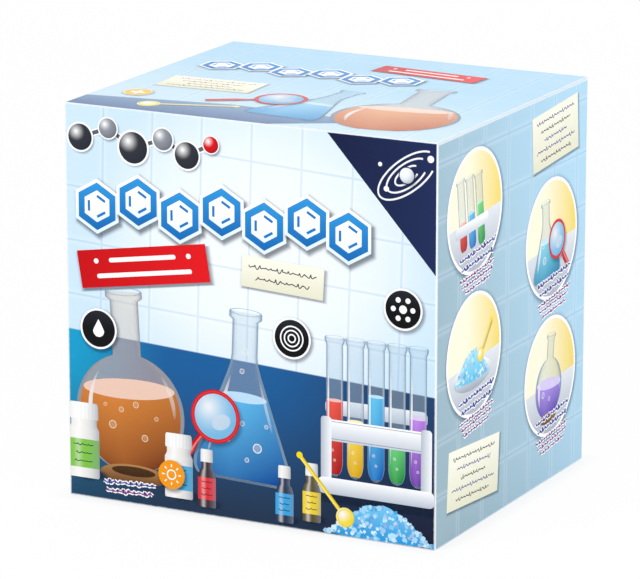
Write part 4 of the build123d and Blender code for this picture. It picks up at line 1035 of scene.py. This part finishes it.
def clearPlastic(name, tint, edge, rough, clear, lampTint):
    # see-through plastic: thin streaks of dust and wiping, and a deeper colour where clouds of haze lie
    finish = Finish(name)
    haze = finish.noise(45.0, 3.0)
    wiped = finish.noise(260.0, 4.0, (1, 1, 0.15)).ease(0.55, 0.8)
    return finish.surface(finish.mix(haze.ease(0.3, 0.8), edge, tint), rough + wiped * 0.10,
                          finish.bump(haze * 0.7 + wiped * 0.3, 0.01), lampTint, clear=clear, bend=1.49)


places = range(1, 4)  # jars and droppers stand in pairs, numbered from the front
dress(plastic("whitePolythene", "#F7F7F5", "#E6E6E3", 0.38, 0.03, milk=0.15, milkReach=(0.004, 0.004, 0.004)),
      "dropper_nozzles", *[f"powder_jar_{i}" for i in places], *[f"powder_jar_{i}_cap" for i in places],
      *[f"dye_bottle_{i}_cap" for i in places])
dress(clearPlastic("clearPolythene", "#F4F2EC", "#E4E1D8", 0.22, 0.7, "#C8C6C0"),
      *[f"dye_bottle_{i}" for i in places])
dress(clearPlastic("pipettePolythene", "#F6F8F8", "#E8EDEE", 0.18, 0.6, "#D0D4D5"), "pipette")
styrene = clearPlastic("clearStyrene", "#FEFFFF", "#F6FAFB", 0.03, 1.0, "#F8FAFA")
dress(styrene, "beaker", "petri_dish", "glasses_visor")
dress(clearPlastic("lensAcrylic", "#FFFFFF", "#F6FAFC", 0.01, 1.0, "#F0F4F5"), "round_lens")
dress(clearPlastic("frostedWindow", "#F9FBFC", "#EDF2F4", 0.52, 0.5, "#B4B8BA"), "drum_window")

# Beaker and dish: rounded at the rim and hollow under the foot, so that each stands on a ring
clearWare = {"beaker": {"foot": 21.0, "rim": 26.0, "tall": 64.0, "wall": 1.4, "corner": 1.1},
             "petri_dish": {"foot": 26.5, "rim": 26.5, "tall": 12.0, "wall": 1.3, "corner": 0.5}}
wareFoot = {"hollow": 0.35, "lift": 0.02, "ringWidth": 1.6, "slopeWidth": 1.0, "columns": 96, "guard": 0.4}


def arc(across, up, radius, first, last):
    angles = np.radians(np.linspace(first, last, 9))
    return np.stack([across + radius * np.cos(angles), up + radius * np.sin(angles)], axis=1)


def spunWare(node, foot, rim, tall, wall, corner):
    # an outline of radius against height, straight runs joined by arcs, swept round the upright middle line
    slope, innerSlope = (rim - foot) / tall, (rim - foot) / (tall - wall)
    lean, innerLean = math.atan(slope), math.atan(innerSlope)
    leanAngle, innerAngle = math.degrees(lean), math.degrees(innerLean)
    lift, hollow, soft = wareFoot["lift"], wareFoot["hollow"], corner * 1.3
    outer = foot + slope * (lift + corner) - corner / math.cos(lean)
    inner = foot - wall + innerSlope * soft - soft / math.cos(innerLean)
    down = np.linspace(0, 1, 7)
    ring = np.stack([outer - wareFoot["ringWidth"] + down * wareFoot["slopeWidth"],
                     lift + (hollow - lift) * (1 + np.cos(np.pi * down)) / 2], axis=1)
    outline = np.concatenate([[(0, hollow)], ring, arc(outer, lift + corner, corner, -90, -leanAngle),
                              arc(rim - wall / 2, tall - wall / 2, wall / 2, -leanAngle, 180 - leanAngle),
                              arc(inner, wall + soft, soft, -innerAngle, -90), [(0, wall)]])
    # a row close to each end of a long run keeps the run flat
    guard = wareFoot["guard"]
    along = np.concatenate([[0], np.cumsum(np.hypot(*np.diff(outline, axis=0).T))])
    long = np.diff(along) > 4 * guard
    rows = np.sort(np.concatenate([along, along[:-1][long] + guard, along[1:][long] - guard]))
    radius, up = (np.interp(rows, along, outline[:, i])[:, None] for i in (0, 1))
    angle = np.linspace(0, 2 * np.pi, wareFoot["columns"], endpoint=False)[None, :]
    low, high = corners(node)
    x, y = (low + high)[:2] / 2
    swept = np.broadcast_arrays(x + radius * np.cos(angle), y + radius * np.sin(angle), low[2] + up)
    piece = gridMesh(node + "_ware", np.stack(swept, axis=-1) / 1000, closed=True)
    shell = bmesh.new()
    shell.from_mesh(piece.data)
    bmesh.ops.remove_doubles(shell, verts=shell.verts, dist=1e-7)  # one point at each end of the middle line
    shell.to_mesh(piece.data)
    shell.free()
    piece.data.materials.append(styrene)
    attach(piece, "case")
    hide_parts(node)


for node, sizes in clearWare.items():
    spunWare(node, **sizes)

# Fresnel lens sheet: fine ridges in rings about its middle
low, high = corners("rectangular_lens")
x, y, z = ((low + high) / 2).tolist()
fresnel = Finish("ridgedLens")
across, up = fresnel.x - x, fresnel.z - z
radius = (across * across + up * up) ** 0.5
tint = fresnel.mix(radius.ease(60.0, 0.0), "#E6F0F5", "#FBFDFE")
ridges = fresnel.bump((radius * 7.0).sine(), 0.015)
dress(fresnel.surface(tint, 0.05 + fresnel.noise(200.0, 3.0) * 0.06, ridges, "#E4E8EA", clear=1.0, bend=1.49),
      "rectangular_lens")

# Light diodes: clear epoxy, milky yellow at the foot where the chip's phosphor sits
low, high = corners("leds")
diode = Finish("diodeEpoxy")
rise = (diode.z - float(low[2])) / float(high[2] - low[2])
tint = diode.mix(rise.ease(0.1, 0.75), "#F2D98A", "#F5F7F6")
dress(diode.surface(tint, 0.12 + diode.noise(300.0, 2.0) * 0.05, diode.bump(diode.noise(500.0, 2.0), 0.01),
                    "#C8C6B8", clear=0.55, bend=1.5), "leds")

# Food dyes by bottle, front to back: red, yellow, blue, darker towards the foot
dye = Finish("foodDye")
centres = [float(sum(corners(f"dye_bottle_{i}"))[1]) / 2 for i in places]
first, second = ((centres[i] + centres[i + 1]) / 2 for i in (0, 1))
shades = (("#8E0F16", "#B9820A", "#123F86"), ("#3A0508", "#6A4503", "#081C40"))
lighterTop, darkerFoot = (dye.mix(dye.y > second, dye.mix(dye.y > first, red, yellow), blue)
               for red, yellow, blue in shades)
# darker towards the foot and lighter towards the top
tint = dye.mix((dye.z - dye.noise(80.0, 2.0) * 4).ease(80.0, 100.0), darkerFoot, lighterTop)
dress(dye.surface(tint, 0.06 + dye.noise(150.0, 2.0) * 0.05, dye.bump(dye.noise(90.0, 2.0), 0.02),
                  gloss=0.6), "food_dyes")

powder = Finish("whitePowder")
lumps = powder.noise(700.0, 5.0)
dress(powder.surface(powder.mix(lumps.ease(0.35, 0.7), "#D9DAD6", "#F6F6F3"), 0.85 + lumps * 0.1,
                     powder.bump(lumps, 0.6)), "jar_powders")

# Station: pale grey styrene with a fine spark-eroded grain on its walls
station = Finish("paleGreyPlastic")
grain, cloud = station.noise(1900.0, 3.0), station.noise(24.0, 3.0)
scuff = station.noise(300.0, 5.0, (1, 1, 0.4)).ease(0.62, 0.75)
tint = station.mix(cloud.ease(0.2, 0.8) * 0.8 + scuff * 0.2, "#DCE0E5", "#EDF0F3")
dress(station.surface(tint, 0.36 + grain * 0.10 + scuff * 0.15, station.bump(grain * 0.5 + cloud * 0.5, 0.05),
                      gloss=0.45), "station_tray", "light_drum", "tool_pot", "battery_cover")

dress(plastic("redPlastic", "#DE1019", "#B9060F", 0.24, coat=0.25, coatRough=0.12),
      "arm_swivel", "lower_arm", "round_lens_frame", "rectangular_lens_frame", "light_button")
dress(plastic("greyPlastic", "#5A5E64", "#43464B", 0.36),
      "glasses_brow", "glasses_left_temple", "glasses_right_temple")
dress(plastic("yellowPlastic", "#F9D816", "#E4BB06", 0.27, coat=0.15, coatRough=0.2), "spoon")
dress(plastic("blackPlastic", "#1B1C1F", "#0D0E10", 0.34), "tweezers")

# Circuit board: green lacquer over copper tracks laid square, and tinned pads
low, high = corners("circuit_board")
x, y, z = ((low + high) / 2).tolist()
board = Finish("circuitLaminate")
wander = board.noise(60.0, 1.0) * 3
tracks = [abs((board.x - x + wander).wrap(4.2) - 2.1).ease(0.75, 0.5),
          abs((board.y - y + wander).wrap(5.6) - 2.8).ease(0.65, 0.4)]
copper = tracks[0].higher(tracks[1])
cells = board.add("ShaderNodeTexVoronoi", None, {"Vector": board.place, "Scale": 130.0}, "Distance")
pads = cells.ease(0.16, 0.12)
lacquer = board.mix(copper * 0.8, "#0B4A22", "#1E7A3C")
dress(board.surface(board.mix(pads, lacquer, "#C9CCCB"), 0.3 + board.noise(300.0, 3.0) * 0.1 - pads * 0.08,
                    board.bump(copper + pads * 0.5, 0.05), metal=pads * 0.9), "circuit_board")

# Birch stirrers: pale wood, its grain drawn out along their length, with fine dark pores
wood = Finish("birch")
bands = wood.noise(190.0, 3.0, (1, 1, 0.04))
pores = wood.noise(1500.0, 3.0, (1, 1, 0.05)).ease(0.6, 0.75)
timber = wood.mix(bands.ease(0.3, 0.75), "#C79A63", "#E9CB9B")
dress(wood.surface(wood.mix(pores * 0.5, timber, "#A5773F"), 0.62 + bands * 0.12,
                   wood.bump(bands * 0.6 + (1 - pores) * 0.4, 0.08)), "wooden_sticks")
print("contents dressed")

# Paper labels round the jars and droppers: how high up the wall, and how much of the way round it
labels = {"powder_jar": {"low": 3.5, "high": 35.5, "reach": 0.94, "columns": 97},
          "dye_bottle": {"low": 3.0, "high": 23.0, "reach": 0.92, "columns": 73}}


def labelWrap(kind, i):
    size = labels[kind]
    low, high = corners(f"{kind}_{i}")
    radius = float(high[0] - low[0]) / 2 + 0.05
    label = PrintWrap(f"{kind}_{i}_label", "case", f"{kind}_{i}", low[2] + size["low"], low[2] + size["high"],
                      (radius, radius))
    return label, label.ends[0], label.ends[1], math.pi * radius * size["reach"]


def stripes(label, reach, columns, rows):
    # bands all the way round: lower edge, height and ink
    for base, tall, ink in rows:
        path = np.stack([np.linspace(-reach, reach, columns), np.full(columns, base + tall / 2)], axis=1)
        stroke(label, path, tall / 2, ink)


for i, tint in zip(places, ("#6CB833", "#2BA3DB", "#F08A1D")):
    label, foot, head, reach = labelWrap("powder_jar", i)
    stripes(label, reach, labels["powder_jar"]["columns"],
            ((foot, head - foot, "#F9F9F4"), (foot + 6, 11.5, tint), (head - 4.2, 2.2, tint)))
    for side in (-1, 0, 1):
        middle = side * reach * 0.66
        for k in range(3):
            scribble(label, (middle, foot + 14.6 - 2.9 * k), 17 - 3.5 * (k % 2), 0.0, white,
                     k + i + side, 0.34, 0.75)
        for k in range(2):
            scribble(label, (middle, foot + 3.9 - 2.0 * k), 20 - 4 * k, 0.0, "#2A3340", k + 2 * i, 0.18, 0.5)
        fill(label, drop((middle, foot + 22.5), 3.0), tint, 1.0, 5)
        inner, outer = (oval((middle, foot + 22.8), radius, count=40) for radius in (4.3, 4.9))
        between(label, inner, outer, tint)
    label.build(inkOnPaper, "printed_paper")

for i, tint in zip(places, ("#E3222A", "#F3D413", "#2FA5E2")):
    label, foot, head, reach = labelWrap("dye_bottle", i)
    stripes(label, reach, labels["dye_bottle"]["columns"],
            ((foot, head - foot, tint), (foot + 1.2, 1.0, white), (head - 2.2, 1.0, white)))
    for side in (-1, 0, 1):
        for k in range(4):
            scribble(label, (side * reach * 0.66, head - 5.4 - 2.9 * k), 12 - 3 * (k % 2), 0.0, "#16202C",
                     k + i + side, 0.26, 0.7)
    label.build(inkOnPaper, "printed_paper")

# The beaker's scale: long and short lines by turns, from one upright line
scaleLines = {"count": 9, "step": 5.5, "first": 8, "long": 11.0, "short": 6.5, "half": 0.28, "rise": 0.04,
              "ink": "#2467A8"}
low, high = corners("beaker")
radii = [clearWare["beaker"][end] + scaleLines["rise"] for end in ("foot", "rim")]
scale = PrintWrap("beaker_scale", "case", "beaker", low[2], high[2], radii)
start, edge = low[2] + scaleLines["first"], -scaleLines["long"] / 2
for k in range(scaleLines["count"]):
    length = scaleLines["short"] if k % 2 else scaleLines["long"]
    rise = start + k * scaleLines["step"]
    stroke(scale, np.linspace((edge, rise), (edge + length, rise), 13), scaleLines["half"], scaleLines["ink"])
end = start + (scaleLines["count"] - 1) * scaleLines["step"]
stroke(scale, upright(np.linspace(start, end, 25), edge), scaleLines["half"], scaleLines["ink"])
scale.build(inkOnPaper, "clear_plastic")

# Booklet cover: rings and a flask between two bars
low, high = corners("booklet")
cover = PrintSheet("booklet_print", "case", (0, low[1], 0), (1, 0, 0), (0, 0, 1), (low[0], low[2]),
                   (high[0], high[2]))
fill(cover, roundBox((0, 196), (132, 11), 2.0), fade("#DCEEF8", white, -66, 66, 0), 0.95, 2)
scribble(cover, (-22, 196), 70, 0.0, "#1F63A6", 2.0, 0.7, 2.0)
for place, radius in (((-58, 172), 11.0), ((-36, 177), 11.0), ((-14, 172), 11.0), ((52, 166), 13.0)):
    hexagonRing(cover, place, radius, thick=0.3)
vessel(cover, (22, 134), "cone", 34, 52, "gold", 0.48, -4.0)
bubbles(cover, [(18, 148, 1.8), (25, 152, 1.2), (15, 156, 1.4)])
for k in range(3):
    scribble(cover, (-34, 152 - k * 6.5), 52 - 10 * (k % 2), 0.0, white, k + 1.5, 0.5, 1.3)
band(cover, (0, 112), (120, 17), 0.0)
cover.build(inkOnPaper, "printed_paper")

low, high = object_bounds()
